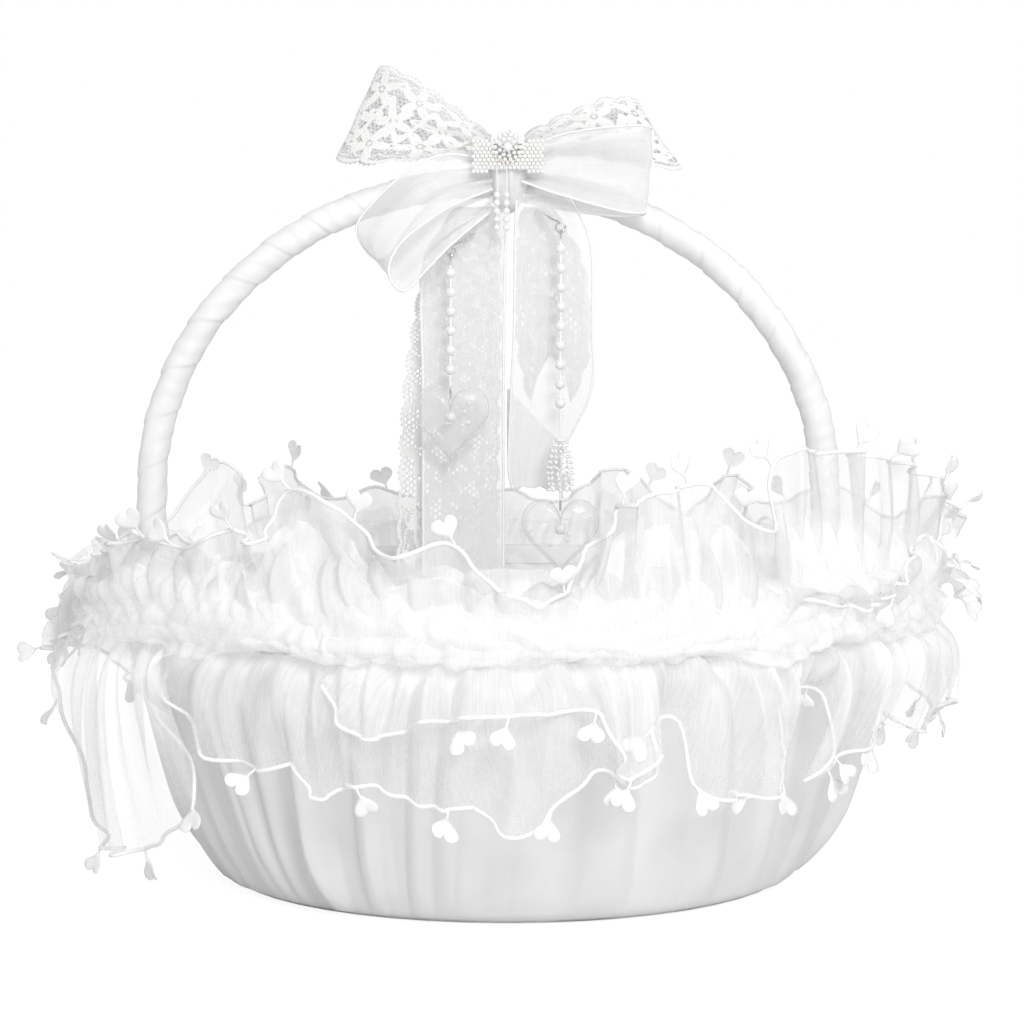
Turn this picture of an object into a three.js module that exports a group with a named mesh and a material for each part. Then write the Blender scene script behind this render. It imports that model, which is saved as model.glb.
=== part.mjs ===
// Flower girl basket: a round satin-covered wicker bowl with a two-tier organza ruffle, an arched handle
// wrapped in ribbon, and a bow of lace and organza with a pearl brooch, tails and two bead strands that
// carry clear hearts.
// Millimetres, +Z up, -Y is the front. The origin is the centre of the underside.
import * as THREE from 'three';

// ---- driving dimensions ----
const BASE_RADIUS = 95.5;
const RIM_RADIUS = 130;
const RIM_HEIGHT = 98;
const WALL_FLARE = 0.74;
const GAP = 0.3;
const LAYER_GAP = 0.7;

const COVER_THICKNESS = 1.0;
const WICKER_THICKNESS = 3.0;
const LINING_THICKNESS = 0.8;
const BOARD_THICKNESS = 3.5;
const PAD_THICKNESS = 3.8;
const BASE_COVER_RADIUS = 94;
const BASE_COVER_THICKNESS = 1;
const BOARD_RADIUS = 91.5;
const PAD_RADIUS = 88.8;
const PAD_CORNER = 0.8;
const BOTTOM_HOOP_WIRE = 1.9;
const RIM_HOOP_WIRE = 1.5;
const RIM_HOOP_INSET = 3.4;
const WICKER_TOP = 94.5;

const HANDLE_CENTRE_X = -6.5;
const HANDLE_HALF_WIDTH = 114;
const HANDLE_SPRING_HEIGHT = 128.5;
const HANDLE_RISE = 103.4;
const HANDLE_LEG_FOOT = 50;
const HANDLE_CORE_RADIUS = 3.5;
const HANDLE_WRAP_RADIUS = 4.85;
const HANDLE_LEG_CLEARANCE = 2.4;
const HANDLE_LEG_HEIGHTS = [HANDLE_LEG_FOOT, 66, 82, 98, 116];
const TIE_CLEARANCE = 1.3;
const TIE_WIRE = 0.4;
const TIE_HEIGHTS = { lower: 58, upper: 76 };

const GATHER_HEIGHT = 87;
const GATHER_HALF_WIDTH = 3;
const GATHER_STAND = 2;
const GATHER_RADIUS = 132.2;
const TIER_STEP = 1.6;
const RUFFLE_WAVES = 12;
const RUFFLE_WAVE_HEIGHT = 1.5;
const RUFFLE_THICKNESS = 1.2;
const EDGE_CORD_RADIUS = 0.75;
const PETAL_WIDTH = 8;

const KNOT_CENTRE_HEIGHT = 236.5;
const KNOT_HALF_HEIGHT = 15;
const KNOT_HALF_DEPTH = 11.5;
const KNOT_CENTRE_Y = -2.8;
const KNOT_FRONT = KNOT_CENTRE_Y - KNOT_HALF_DEPTH;
const ORGANZA_HALF_WIDTH = 13.5;
const LACE_HALF_WIDTH = 18.5;
const RIBBON_THICKNESS = 0.6;

const BEAD_RADIUS = 1.75;
const BEAD_PITCH = 6.4;
const THREAD_RADIUS = 0.4;
const SEED_RADIUS = 1.1;
const SEED_PITCH = 2.7;
const SEED_COUNT = 5;
const SEED_LEAD = 8.5;
const SEED_Y = -17.3;
const SEED_TOP = 237;
const HEART_WIDTH = 27;
const HEART_HALF_DEPTH = 3.6;
const HEART_WALL = 1.1;
const HEART_STRETCH = 1.12;
const HEART_PEARL_RADIUS = 1.9;
const LINK_RADIUS = 1.6;
const LINK_WIRE = 0.4;
const BAIL_LIFT = 2.2;
const STRAND_Y = -17;
const LEFT_STRAND_X = -19;
const LEFT_PIVOT_HEIGHT = 207;
const RIGHT_STRAND_X = 17.5;
const RIGHT_PIVOT_HEIGHT = 215;

// ---- helpers ----
const basket = new THREE.Group();

function material(colour, roughness, metalness = 0) {
  return new THREE.MeshStandardMaterial({ color: colour, roughness, metalness });
}

const satin = () => material(0xf4f4f4, 0.35);
const organza = () => material(0xfafafa, 0.6);
const lace = () => material(0xfbfbfb, 0.8);
const willow = () => material(0xb8945f, 0.7);
const silver = () => material(0xe6e6e6, 0.3, 0.9);
const pearl = () => material(0xf8f4ea, 0.25);
const clearAcrylic = () => material(0xf3f6f7, 0.08);

function add(name, geometry, look, parent = basket) {
  const mesh = new THREE.Mesh(geometry, look);
  mesh.name = name;
  parent.add(mesh);
  return mesh;
}

// A lathe about Z: each pair is (radius, height), and the outline closes on itself or on the axis.
function turned(pairs, segments) {
  const outline = pairs.map(([radius, height]) => new THREE.Vector2(radius, height));
  return new THREE.LatheGeometry(outline, segments).rotateX(Math.PI / 2);
}

// The outline of a flat disc between two heights.
function disc(radius, bottom, top) {
  return [[0, bottom], [radius, bottom], [radius, top], [0, top]];
}

function wallRadius(height) {
  return BASE_RADIUS + (RIM_RADIUS - BASE_RADIUS) * Math.pow(height / RIM_HEIGHT, WALL_FLARE);
}

// A revolved wall between two distances inside the basket's outer face.
function wallShell(inset, thickness, bottom, top, steps, segments) {
  const outer = [];
  const inner = [];
  for (let i = 0; i <= steps; i += 1) {
    const height = bottom + (top - bottom) * Math.pow(i / steps, 1.3);
    outer.push([wallRadius(height) - inset, height]);
    inner.unshift([wallRadius(height) - inset - thickness, height]);
  }
  return turned([...outer, ...inner, outer[0]], segments);
}

function ring(radius, wire, sides, segments) {
  return new THREE.TorusGeometry(radius, wire, sides, segments);
}

// A closed body from a grid of points: rows run across the sheet, and the sheet has the given thickness.
function thickSheet(grid, thickness, closedAround) {
  const rows = grid.length;
  const columns = grid[0].length;
  const wrap = (i) => (closedAround ? (i + rows) % rows : Math.min(Math.max(i, 0), rows - 1));
  const positions = [];
  for (const side of [0.5, -0.5]) {
    for (let i = 0; i < rows; i += 1) {
      for (let j = 0; j < columns; j += 1) {
        const along = new THREE.Vector3().subVectors(grid[wrap(i + 1)][j], grid[wrap(i - 1)][j]);
        const last = Math.min(j + 1, columns - 1);
        const across = new THREE.Vector3().subVectors(grid[i][last], grid[i][Math.max(j - 1, 0)]);
        const normal = along.cross(across).normalize().multiplyScalar(side * thickness);
        const point = new THREE.Vector3().addVectors(grid[i][j], normal);
        positions.push(point.x, point.y, point.z);
      }
    }
  }
  const at = (side, i, j) => side * rows * columns + wrap(i) * columns + j;
  const indices = [];
  const quad = (a, b, c, d) => indices.push(a, b, c, a, c, d);
  const spans = closedAround ? rows : rows - 1;
  for (let i = 0; i < spans; i += 1) {
    for (let j = 0; j < columns - 1; j += 1) {
      quad(at(0, i, j), at(0, i + 1, j), at(0, i + 1, j + 1), at(0, i, j + 1));
      quad(at(1, i, j), at(1, i, j + 1), at(1, i + 1, j + 1), at(1, i + 1, j));
    }
    quad(at(0, i, 0), at(1, i, 0), at(1, i + 1, 0), at(0, i + 1, 0));
    const edge = columns - 1;
    quad(at(0, i, edge), at(0, i + 1, edge), at(1, i + 1, edge), at(1, i, edge));
  }
  if (!closedAround) {
    for (let j = 0; j < columns - 1; j += 1) {
      quad(at(0, 0, j), at(0, 0, j + 1), at(1, 0, j + 1), at(1, 0, j));
      const end = rows - 1;
      quad(at(0, end, j), at(1, end, j), at(1, end, j + 1), at(0, end, j + 1));
    }
  }
  const geometry = new THREE.BufferGeometry();
  geometry.setAttribute('position', new THREE.Float32BufferAttribute(positions, 3));
  geometry.setIndex(indices);
  geometry.computeVertexNormals();
  return geometry;
}

// A flat ribbon. Each station is [x, y, z, half width, tilt, depth share]: the tilt turns its width from X
// towards Z, in degrees, and the depth share turns it towards Y.
function ribbon(stations, steps) {
  const centre = new THREE.CatmullRomCurve3(stations.map(([x, y, z]) => new THREE.Vector3(x, y, z)));
  const width = new THREE.CatmullRomCurve3(stations.map(([, , , half, tilt, depth = 0]) => {
    const angle = THREE.MathUtils.degToRad(tilt);
    const flat = Math.sqrt(1 - depth * depth);
    return new THREE.Vector3(Math.cos(angle) * flat, depth, Math.sin(angle) * flat).multiplyScalar(half);
  }));
  const grid = [];
  for (let i = 0; i <= steps; i += 1) {
    const middle = centre.getPoint(i / steps);
    const reach = width.getPoint(i / steps);
    grid.push([middle.clone().sub(reach), middle.clone(), middle.clone().add(reach)]);
  }
  return thickSheet(grid, RIBBON_THICKNESS, false);
}

function polygon(radius, sides) {
  const points = [];
  for (let i = 0; i < sides; i += 1) {
    const angle = (2 * Math.PI * i) / sides;
    points.push(new THREE.Vector2(radius * Math.cos(angle), radius * Math.sin(angle)));
  }
  return points;
}

function tube(path, radius, sides, steps, boreRadius = 0, boreSides = 6) {
  const section = new THREE.Shape(polygon(radius, sides));
  if (boreRadius > 0) {
    section.holes.push(new THREE.Path(polygon(boreRadius, boreSides)));
  }
  return new THREE.ExtrudeGeometry(section, { steps, extrudePath: path });
}

// A heart outline in the XY plane with its notch up and its point down, centred on the origin.
function heartOutline(width, perSide) {
  const points = [];
  for (let i = 0; i < 2 * perSide; i += 1) {
    const t = (Math.PI * i) / perSide;
    const x = (width / 32) * 16 * Math.pow(Math.sin(t), 3);
    const y = (width / 32) * (13 * Math.cos(t) - 5 * Math.cos(2 * t) - 2 * Math.cos(3 * t) - Math.cos(4 * t));
    points.push(new THREE.Vector2(x, y));
  }
  return points.reverse();
}

// ---- basket body ----
const BOARD_BOTTOM = BASE_COVER_THICKNESS + GAP;
const BOARD_TOP = BOARD_BOTTOM + BOARD_THICKNESS;
const HOOP_HEIGHT = BOARD_TOP + GAP + BOTTOM_HOOP_WIRE;
const PAD_BOTTOM = BOARD_TOP + GAP;
const PAD_TOP = PAD_BOTTOM + PAD_THICKNESS;
const WICKER_INSET = COVER_THICKNESS + LAYER_GAP;
const LINING_INSET = WICKER_INSET + WICKER_THICKNESS + LAYER_GAP;
const LINING_TOTAL = LINING_INSET + LINING_THICKNESS;

function buildBody() {
  add('base_cover', turned(disc(BASE_COVER_RADIUS, 0, BASE_COVER_THICKNESS), 48), satin());
  add('base_board', turned(disc(BOARD_RADIUS, BOARD_BOTTOM, BOARD_TOP), 32), material(0xc9ad84, 0.8));
  const hoop = ring(BOARD_RADIUS, BOTTOM_HOOP_WIRE, 6, 28);
  add('bottom_hoop', hoop, willow()).position.z = HOOP_HEIGHT;
  const pad = disc(PAD_RADIUS, PAD_BOTTOM, PAD_TOP);
  pad.splice(2, 1, [PAD_RADIUS, PAD_TOP - PAD_CORNER], [PAD_RADIUS - PAD_CORNER, PAD_TOP]);
  add('floor_pad', turned(pad, 28), material(0xf5f5f0, 0.9));

  const wicker = wallShell(WICKER_INSET, WICKER_THICKNESS, BOARD_BOTTOM + 0.2, WICKER_TOP, 5, 36);
  add('wicker_wall', wicker, material(0xc7a878, 0.75));
  const rimHoop = ring(wallRadius(RIM_HEIGHT) - RIM_HOOP_INSET, RIM_HOOP_WIRE, 6, 36);
  add('rim_hoop', rimHoop, willow()).position.z = WICKER_TOP + GAP + RIM_HOOP_WIRE;
  add('satin_cover', wallShell(0, COVER_THICKNESS, 0.4, RIM_HEIGHT, 6, 36), satin());

  const liningBottom = PAD_TOP + 0.5;
  const outer = [[0, liningBottom]];
  const inner = [[0, liningBottom + LINING_THICKNESS]];
  const liningSteps = 4;
  for (let i = 0; i <= liningSteps; i += 1) {
    const height = liningBottom + ((RIM_HEIGHT - liningBottom) * i) / liningSteps;
    outer.push([wallRadius(height) - LINING_INSET, height]);
    const raised = Math.max(height, liningBottom + LINING_THICKNESS);
    inner.push([wallRadius(raised) - LINING_TOTAL, raised]);
  }
  add('satin_lining', turned([...outer, ...inner.reverse()], 36), satin());
}

// ---- handle ----
// The two legs follow the inside of the lining, and the arch is half an ellipse.
function legX(side, height) {
  const straight = Math.abs(HANDLE_CENTRE_X + side * HANDLE_HALF_WIDTH);
  const inside = wallRadius(Math.min(height, RIM_HEIGHT)) - LINING_TOTAL - HANDLE_WRAP_RADIUS;
  return side * Math.min(straight, height > RIM_HEIGHT ? straight : inside - HANDLE_LEG_CLEARANCE);
}

function handlePath() {
  const points = [];
  for (const height of HANDLE_LEG_HEIGHTS) {
    points.push(new THREE.Vector3(legX(-1, height), 0, height));
  }
  const archSteps = 16;
  for (let i = 0; i <= archSteps; i += 1) {
    const angle = Math.PI * (1 - i / archSteps);
    const x = HANDLE_CENTRE_X + HANDLE_HALF_WIDTH * Math.cos(angle);
    points.push(new THREE.Vector3(x, 0, HANDLE_SPRING_HEIGHT + HANDLE_RISE * Math.sin(angle)));
  }
  for (const height of [...HANDLE_LEG_HEIGHTS].reverse()) {
    points.push(new THREE.Vector3(legX(1, height), 0, height));
  }
  return new THREE.CatmullRomCurve3(points, false, 'centripetal');
}

function buildHandle() {
  const path = handlePath();
  const steps = 32;
  add('handle_core', tube(path, HANDLE_CORE_RADIUS, 6, steps), willow());
  const bore = HANDLE_CORE_RADIUS + 0.4;
  add('handle_wrap', tube(path, HANDLE_WRAP_RADIUS, 8, steps, bore, 6), satin());
  for (const [label, side] of [['left', -1], ['right', 1]]) {
    for (const [place, height] of Object.entries(TIE_HEIGHTS)) {
      const tie = ring(HANDLE_WRAP_RADIUS + TIE_CLEARANCE, TIE_WIRE, 5, 12);
      const mesh = add(`handle_tie_${label}_${place}`, tie, satin());
      mesh.position.set(legX(side, height), 0, height);
      mesh.rotation.y = Math.atan2(legX(side, height + 6) - legX(side, height - 6), 12);
    }
  }
}

// ---- ruffle ----
// A hem is a loop of [angle, radius, height]. Angles are in degrees from +X towards +Y, so -90 is the front.
const UPPER_HEM = [
  [-180, 151, 88], [-160, 145, 101], [-138, 144, 114], [-115, 146, 128], [-90, 149, 109], [-68, 144, 129],
  [-48, 139, 141], [-28, 142, 138], [-8, 151, 123], [12, 155, 118], [36, 152, 118], [60, 151, 119],
  [90, 151, 116], [118, 151, 120], [140, 149, 121], [160, 153, 102],
];
const LOWER_HEM = [
  [-180, 153, 59], [-165, 147, 42], [-150, 142, 21], [-135, 141, 44], [-115, 143, 52], [-90, 146, 43],
  [-70, 144, 52], [-50, 142, 51], [-25, 142, 56], [0, 151, 55], [30, 149, 49], [60, 148, 50],
  [90, 148, 48], [120, 148, 50], [150, 151, 49],
];

// A smooth curve from b to c, given the values before and after them.
function smooth(a, b, c, d, t) {
  const square = 2 * a - 5 * b + 4 * c - d;
  const cube = 3 * (b - c) + d - a;
  return b + 0.5 * t * (c - a + t * (square + t * cube));
}

function hemAt(hem, angle) {
  const count = hem.length;
  const from = (i) => THREE.MathUtils.euclideanModulo(THREE.MathUtils.radToDeg(angle) - hem[i][0], 360);
  const span = (i) => THREE.MathUtils.euclideanModulo(hem[(i + 1) % count][0] - hem[i][0], 360);
  const here = hem.findIndex((_, i) => from(i) < span(i));
  const t = from(here) / span(here);
  const near = (offset, column) => hem[(here + offset + count) % count][column];
  const value = (column) => smooth(near(-1, column), near(0, column), near(1, column), near(2, column), t);
  return { radius: value(1), height: value(2) };
}

// A tier leaves the gather out and up by the given amounts, then bends towards its hem.
function tierPoint(hem, rootHeight, out, up, angle, share) {
  const { radius, height } = hemAt(hem, angle);
  const weights = [(1 - share) ** 2, 2 * share * (1 - share), share ** 2];
  const bend = (start, middle, end) => weights[0] * start + weights[1] * middle + weights[2] * end;
  const wave = RUFFLE_WAVE_HEIGHT * Math.cos(RUFFLE_WAVES * angle) * share;
  const reach = bend(GATHER_RADIUS, GATHER_RADIUS + out, radius) + wave;
  const level = bend(rootHeight, rootHeight + up, height);
  return new THREE.Vector3(reach * Math.cos(angle), reach * Math.sin(angle), level);
}

const upperPoint = (angle, share) => tierPoint(UPPER_HEM, GATHER_HEIGHT + TIER_STEP, 12, 17, angle, share);
const lowerPoint = (angle, share) => tierPoint(LOWER_HEM, GATHER_HEIGHT - TIER_STEP, 15, -3, angle, share);

function ruffleTier(pointAt, upward) {
  const around = 48;
  const across = 3;
  const grid = [];
  for (let i = 0; i < around; i += 1) {
    const row = [];
    for (let j = 0; j <= across; j += 1) {
      row.push(pointAt((2 * Math.PI * i * (upward ? -1 : 1)) / around, j / across));
    }
    grid.push(row);
  }
  return thickSheet(grid, RUFFLE_THICKNESS, true);
}

// The point just past the hem, in line with the sheet.
function pastHem(pointAt, angle, distance) {
  const hem = pointAt(angle, 1);
  const before = pointAt(angle, 0.9);
  return hem.clone().add(hem.clone().sub(before).normalize().multiplyScalar(distance));
}

function hemCord(pointAt) {
  const points = [];
  const stations = 64;
  const seam = Math.PI / 2;
  for (let i = 0; i < stations; i += 1) {
    const angle = seam + 0.01 + ((2 * Math.PI - 0.02) * i) / (stations - 1);
    points.push(pastHem(pointAt, angle, EDGE_CORD_RADIUS + 1.4));
  }
  return tube(new THREE.CatmullRomCurve3(points, false, 'centripetal'), EDGE_CORD_RADIUS, 4, 66);
}

function hemPetal(name, pointAt, angle) {
  const outline = new THREE.Shape(heartOutline(PETAL_WIDTH, 7));
  const geometry = new THREE.ExtrudeGeometry(outline, { depth: 0.8, bevelEnabled: false });
  geometry.translate(0, 0, -0.4);
  const place = pastHem(pointAt, angle, 1.4 + 2 * EDGE_CORD_RADIUS + 0.4 + PETAL_WIDTH * 0.6);
  const away = place.clone().sub(pointAt(angle, 0.9)).normalize();
  const outward = new THREE.Vector3(Math.cos(angle), Math.sin(angle), 0);
  const along = new THREE.Vector3().crossVectors(away, outward).normalize();
  const face = new THREE.Vector3().crossVectors(along, away);
  const mesh = add(name, geometry, satin());
  mesh.quaternion.setFromRotationMatrix(new THREE.Matrix4().makeBasis(along, away, face));
  mesh.position.copy(place);
}

function buildRuffle() {
  const low = GATHER_HEIGHT - GATHER_HALF_WIDTH;
  const high = GATHER_HEIGHT + GATHER_HALF_WIDTH;
  const band = [
    [wallRadius(low) + LAYER_GAP, low],
    [wallRadius(low) + GATHER_STAND, low],
    [wallRadius(high) + GATHER_STAND, high],
    [wallRadius(high) + LAYER_GAP, high],
    [wallRadius(low) + LAYER_GAP, low],
  ];
  add('gather_band', turned(band, 36), organza());
  add('ruffle_upper', ruffleTier(upperPoint, true), organza());
  add('ruffle_lower', ruffleTier(lowerPoint, false), organza());
  add('edge_cord_upper', hemCord(upperPoint), satin());
  add('edge_cord_lower', hemCord(lowerPoint), satin());
  const upperPetals = [-0.2, -0.75, -1.5, -2.4, 2.6, 1.2];
  const lowerPetals = [-0.35, -1.1, -1.9, -2.75];
  upperPetals.forEach((angle, i) => hemPetal(`petal_upper_${i + 1}`, upperPoint, angle));
  lowerPetals.forEach((angle, i) => hemPetal(`petal_lower_${i + 1}`, lowerPoint, angle));
}

// ---- bow ----
function buildKnot() {
  const outline = polygon(1, 14).map((p) => new THREE.Vector2(
    KNOT_CENTRE_Y + KNOT_HALF_DEPTH * p.x,
    KNOT_CENTRE_HEIGHT + KNOT_HALF_HEIGHT * p.y,
  ));
  const shape = new THREE.Shape(outline);
  const handleTop = HANDLE_SPRING_HEIGHT + HANDLE_RISE - 0.2;
  shape.holes.push(new THREE.Path(polygon(HANDLE_WRAP_RADIUS + 1.1, 10).map((p) => p.setY(p.y + handleTop))));
  const knot = new THREE.ExtrudeGeometry(shape, { depth: 12, bevelEnabled: false });
  // The outline's X becomes Y and its Y becomes Z, and the knot is 12 long along X.
  knot.translate(0, 0, -6);
  knot.applyMatrix4(new THREE.Matrix4().makeBasis(
    new THREE.Vector3(0, 1, 0), new THREE.Vector3(0, 0, 1), new THREE.Vector3(1, 0, 0)));
  add('bow_knot', knot, organza());
}

function buildLoops() {
  const laceLeft = [
    [-7.3, -5, 244, 5, 80], [-24, -6, 249, 11, 68], [-41, -5.5, 253, LACE_HALF_WIDTH - 1.5, 64],
    [-50.5, 0, 255.5, LACE_HALF_WIDTH - 0.5, 63.5], [-41, 5.5, 253, LACE_HALF_WIDTH - 1.5, 64],
    [-24, 6, 250, 9, 68], [-7.3, 3, 246, 4, 80],
  ];
  add('lace_loop_left', ribbon(laceLeft, 14), lace());
  const laceRight = [
    [7.3, -5, 244, 5, 100], [22, -6, 247.5, 8, 112], [38, -5.5, 249.5, 13, 122], [47.5, 0, 250.5, 13.5, 124],
    [38, 5.5, 250.5, 12, 120], [22, 6, 249, 7.5, 110], [7.3, 3, 246, 4, 100],
  ];
  add('lace_loop_right', ribbon(laceRight, 14), lace());
  const organzaLeft = [
    [-6.8, -11.5, 234.5, 5, 90], [-16, -13, 233, 9, 100, 0.45], [-30, -16, 226.5, 12.5, 125, 0.7],
    [-44.5, -17, 216.5, ORGANZA_HALF_WIDTH, 150, 0.8], [-42, -17.5, 203.5, ORGANZA_HALF_WIDTH, 145, 0.8],
    [-29, -18, 213, 12, 130, 0.75], [-17, -14.5, 222, 8, 110, 0.5], [-6.8, -10.2, 226.2, 3.5, 90],
  ];
  add('organza_loop_left', ribbon(organzaLeft, 16), organza());
  const organzaRight = [
    [6.8, -11, 237, 5, 90], [18, -14, 237.5, 10, 88], [38, -17, 236, ORGANZA_HALF_WIDTH + 0.5, 88],
    [47, -13.5, 235.5, ORGANZA_HALF_WIDTH + 0.5, 88], [38, -9, 234, ORGANZA_HALF_WIDTH, 88],
    [18, -8.2, 233, 10, 88], [6.8, -8, 229.5, 4, 90],
  ];
  add('organza_loop_right', ribbon(organzaRight, 14), organza());
}

function buildTails() {
  const organzaLeft = [
    [-9, -8.4, 222, 9, 0], [-14.5, -8.2, 205, ORGANZA_HALF_WIDTH, 0], [-15, -8, 165, ORGANZA_HALF_WIDTH, 0],
    [-15, -8, 98, ORGANZA_HALF_WIDTH, 0],
  ];
  add('organza_tail_left', ribbon(organzaLeft, 6), organza());
  const organzaRight = [
    [9.5, -8.4, 222, 8, 0], [14.8, -8.2, 205, ORGANZA_HALF_WIDTH - 0.5, 0],
    [15.5, -8, 165, ORGANZA_HALF_WIDTH - 0.5, 0], [17, -6.5, 149, 7, -20],
    [11.5, -4.5, 140, 8.5, -40], [9.5, -4, 131, 8, -20],
  ];
  add('organza_tail_right', ribbon(organzaRight, 10), organza());
  const laceLeft = [
    [-12, 3, 223, 9, 0], [-17, 0.5, 205, LACE_HALF_WIDTH - 1.5, 0], [-19, -2, 165, LACE_HALF_WIDTH - 0.5, 0],
    [-20, -3, 96, LACE_HALF_WIDTH - 0.5, 0],
  ];
  add('lace_tail_left', ribbon(laceLeft, 6), lace());
  const laceRight = [
    [11, 5.5, 223, 7, 0], [14, 3, 205, 12, 0], [15.5, 0.5, 178, 13, 0], [14.5, -0.5, 158, 8, 0],
  ];
  add('lace_tail_right', ribbon(laceRight, 6), lace());
}

function buildBrooch() {
  const outline = new THREE.Shape();
  outline.moveTo(-3, 0);
  outline.lineTo(-11, 7.5);
  outline.lineTo(-12, 0);
  outline.lineTo(-9.5, -7.5);
  outline.lineTo(-3, -4.5);
  outline.lineTo(3, -4.5);
  outline.lineTo(9.5, -7.5);
  outline.lineTo(12, 0);
  outline.lineTo(11, 7.5);
  outline.lineTo(3, 3.5);
  outline.lineTo(-2, 3.5);
  const plate = new THREE.ExtrudeGeometry(outline, { depth: 1.2, bevelEnabled: false });
  const plateMesh = add('brooch_plate', plate, pearl());
  plateMesh.rotation.x = Math.PI / 2;
  plateMesh.position.set(0, KNOT_FRONT - 0.6, 242.5);
  const cluster = [[0, 0], [5.5, 0], [5.5, 1.4], [3.8, 2.6], [2.4, 2.7], [1.9, 4.2], [0, 5]];
  const clusterMesh = add('brooch_centre', turned(cluster, 12), pearl());
  clusterMesh.rotation.x = Math.PI / 2;
  clusterMesh.position.set(0, KNOT_FRONT - 2.2, 244.5);
}

// ---- hanging strands ----
// Beads moulded on their thread, as one turned body hanging below its top end.
function beadProfile(count, radius, pitch, lead, tail) {
  const profile = [[0, 0]];
  let height = 0;
  profile.push([THREAD_RADIUS, height]);
  for (let i = 0; i < count; i += 1) {
    const middle = -lead - radius - i * pitch;
    for (const turn of [66, 25, -25, -66]) {
      const angle = THREE.MathUtils.degToRad(turn);
      profile.push([Math.max(radius * Math.cos(angle), THREAD_RADIUS), middle + radius * Math.sin(angle)]);
    }
    height = middle - radius;
  }
  profile.push([THREAD_RADIUS, height - tail]);
  profile.push([0, height - tail]);
  return profile.reverse();
}

// A closed body with heart-shaped rings: each pair is (scale, height), from the axis and back to it.
function heartLoft(width, perSide, pairs) {
  const outline = heartOutline(width, perSide);
  const count = outline.length;
  const positions = [];
  const indices = [];
  for (const [scale, height] of pairs) {
    outline.forEach((point) => positions.push(point.x * scale, point.y * scale * HEART_STRETCH, height));
  }
  const first = positions.length / 3;
  positions.push(0, 0, pairs[0][1]);
  positions.push(0, 0, pairs[pairs.length - 1][1]);
  for (let i = 0; i < count; i += 1) {
    const next = (i + 1) % count;
    indices.push(first, i, next);
    for (let ringIndex = 0; ringIndex < pairs.length - 1; ringIndex += 1) {
      const low = ringIndex * count;
      const high = low + count;
      indices.push(low + i, high + i, high + next, low + i, high + next, low + next);
    }
    const last = (pairs.length - 1) * count;
    indices.push(first + 1, last + next, last + i);
  }
  const geometry = new THREE.BufferGeometry();
  geometry.setAttribute('position', new THREE.Float32BufferAttribute(positions, 3));
  geometry.setIndex(indices);
  geometry.computeVertexNormals();
  return geometry;
}

// Half of a clear hollow heart: a domed face and a wall, open on its flat side.
function heartHalf() {
  const pocket = HEART_HALF_DEPTH - HEART_WALL;
  return heartLoft(HEART_WIDTH, 9, [
    [0.66, HEART_HALF_DEPTH], [0.9, HEART_HALF_DEPTH - 0.8], [1, HEART_HALF_DEPTH - 2.2], [1, 0],
    [0.86, 0], [0.84, pocket - 0.9], [0.62, pocket],
  ]);
}

// A short sewn wire that comes forward off a tail and curls into the eyelet that a strand hangs in.
function eyeletHook(x, pivotHeight) {
  const side = Math.sign(x);
  const eyeHeight = pivotHeight + LINK_RADIUS;
  const points = [
    new THREE.Vector3(x - side * 8, -9.4, eyeHeight + 6),
    new THREE.Vector3(x - side * 6, -12, eyeHeight + 5),
    new THREE.Vector3(x - side * 3, -15.6, eyeHeight + 3),
  ];
  for (let turn = 60; turn <= 360; turn += 30) {
    const angle = THREE.MathUtils.degToRad(90 - turn + 60);
    const drift = STRAND_Y + 0.9 - (turn / 360) * 1.1;
    points.push(new THREE.Vector3(
      x - side * LINK_RADIUS * Math.cos(angle), drift, eyeHeight + LINK_RADIUS * Math.sin(angle)));
  }
  return tube(new THREE.CatmullRomCurve3(points, false, 'centripetal'), LINK_WIRE, 5, 22);
}

function linkRing() {
  return new THREE.TorusGeometry(LINK_RADIUS, LINK_WIRE, 5, 9);
}

// The hook, the link that sways in it, and the bead thread that swings on the link.
function buildStrand(side, x, pivotHeight, beadCount, foot) {
  add(`strand_hook_${side}`, eyeletHook(x, pivotHeight), silver());
  const linkHeight = pivotHeight + LINK_WIRE * 2 + GAP - LINK_RADIUS;
  const link = add(`strand_link_${side}`, linkRing(), silver());
  link.rotation.y = Math.PI / 2;
  link.position.set(x, STRAND_Y, linkHeight);

  const strandTop = linkHeight - LINK_RADIUS - LINK_WIRE - GAP;
  const lead = 0.8;
  const used = lead + 2 * BEAD_RADIUS + (beadCount - 1) * BEAD_PITCH;
  const profile = beadProfile(beadCount, BEAD_RADIUS, BEAD_PITCH, lead, strandTop - foot - used);
  add(`pearl_strand_${side}`, turned(profile, 6), pearl()).position.set(x, STRAND_Y, strandTop);
}

function buildHeart(side, x, middle) {
  const notch = middle + HEART_WIDTH * HEART_STRETCH * (5 / 32);
  const bail = add(`heart_bail_${side}`, linkRing(), silver());
  bail.rotation.y = Math.PI / 2;
  bail.position.set(x, STRAND_Y, notch + BAIL_LIFT + LINK_RADIUS + LINK_WIRE);
  for (const [face, turn] of [['front', 1], ['back', -1]]) {
    const half = add(`heart_${face}_${side}`, heartHalf(), clearAcrylic());
    half.rotation.x = (turn * Math.PI) / 2;
    half.rotation.z = turn < 0 ? Math.PI : 0;
    half.position.set(x, STRAND_Y - turn * GAP * 0.5, middle);
  }
  const filler = add(`heart_pearl_${side}`, new THREE.SphereGeometry(HEART_PEARL_RADIUS, 8, 6), pearl());
  filler.position.set(x, STRAND_Y, middle + 1);
}

function buildSeedStrand(side, x, top) {
  const profile = beadProfile(SEED_COUNT, SEED_RADIUS, SEED_PITCH, SEED_LEAD, 0.4);
  add(`seed_strand_${side}`, turned(profile, 5), pearl()).position.set(x, SEED_Y, top);
}

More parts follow.
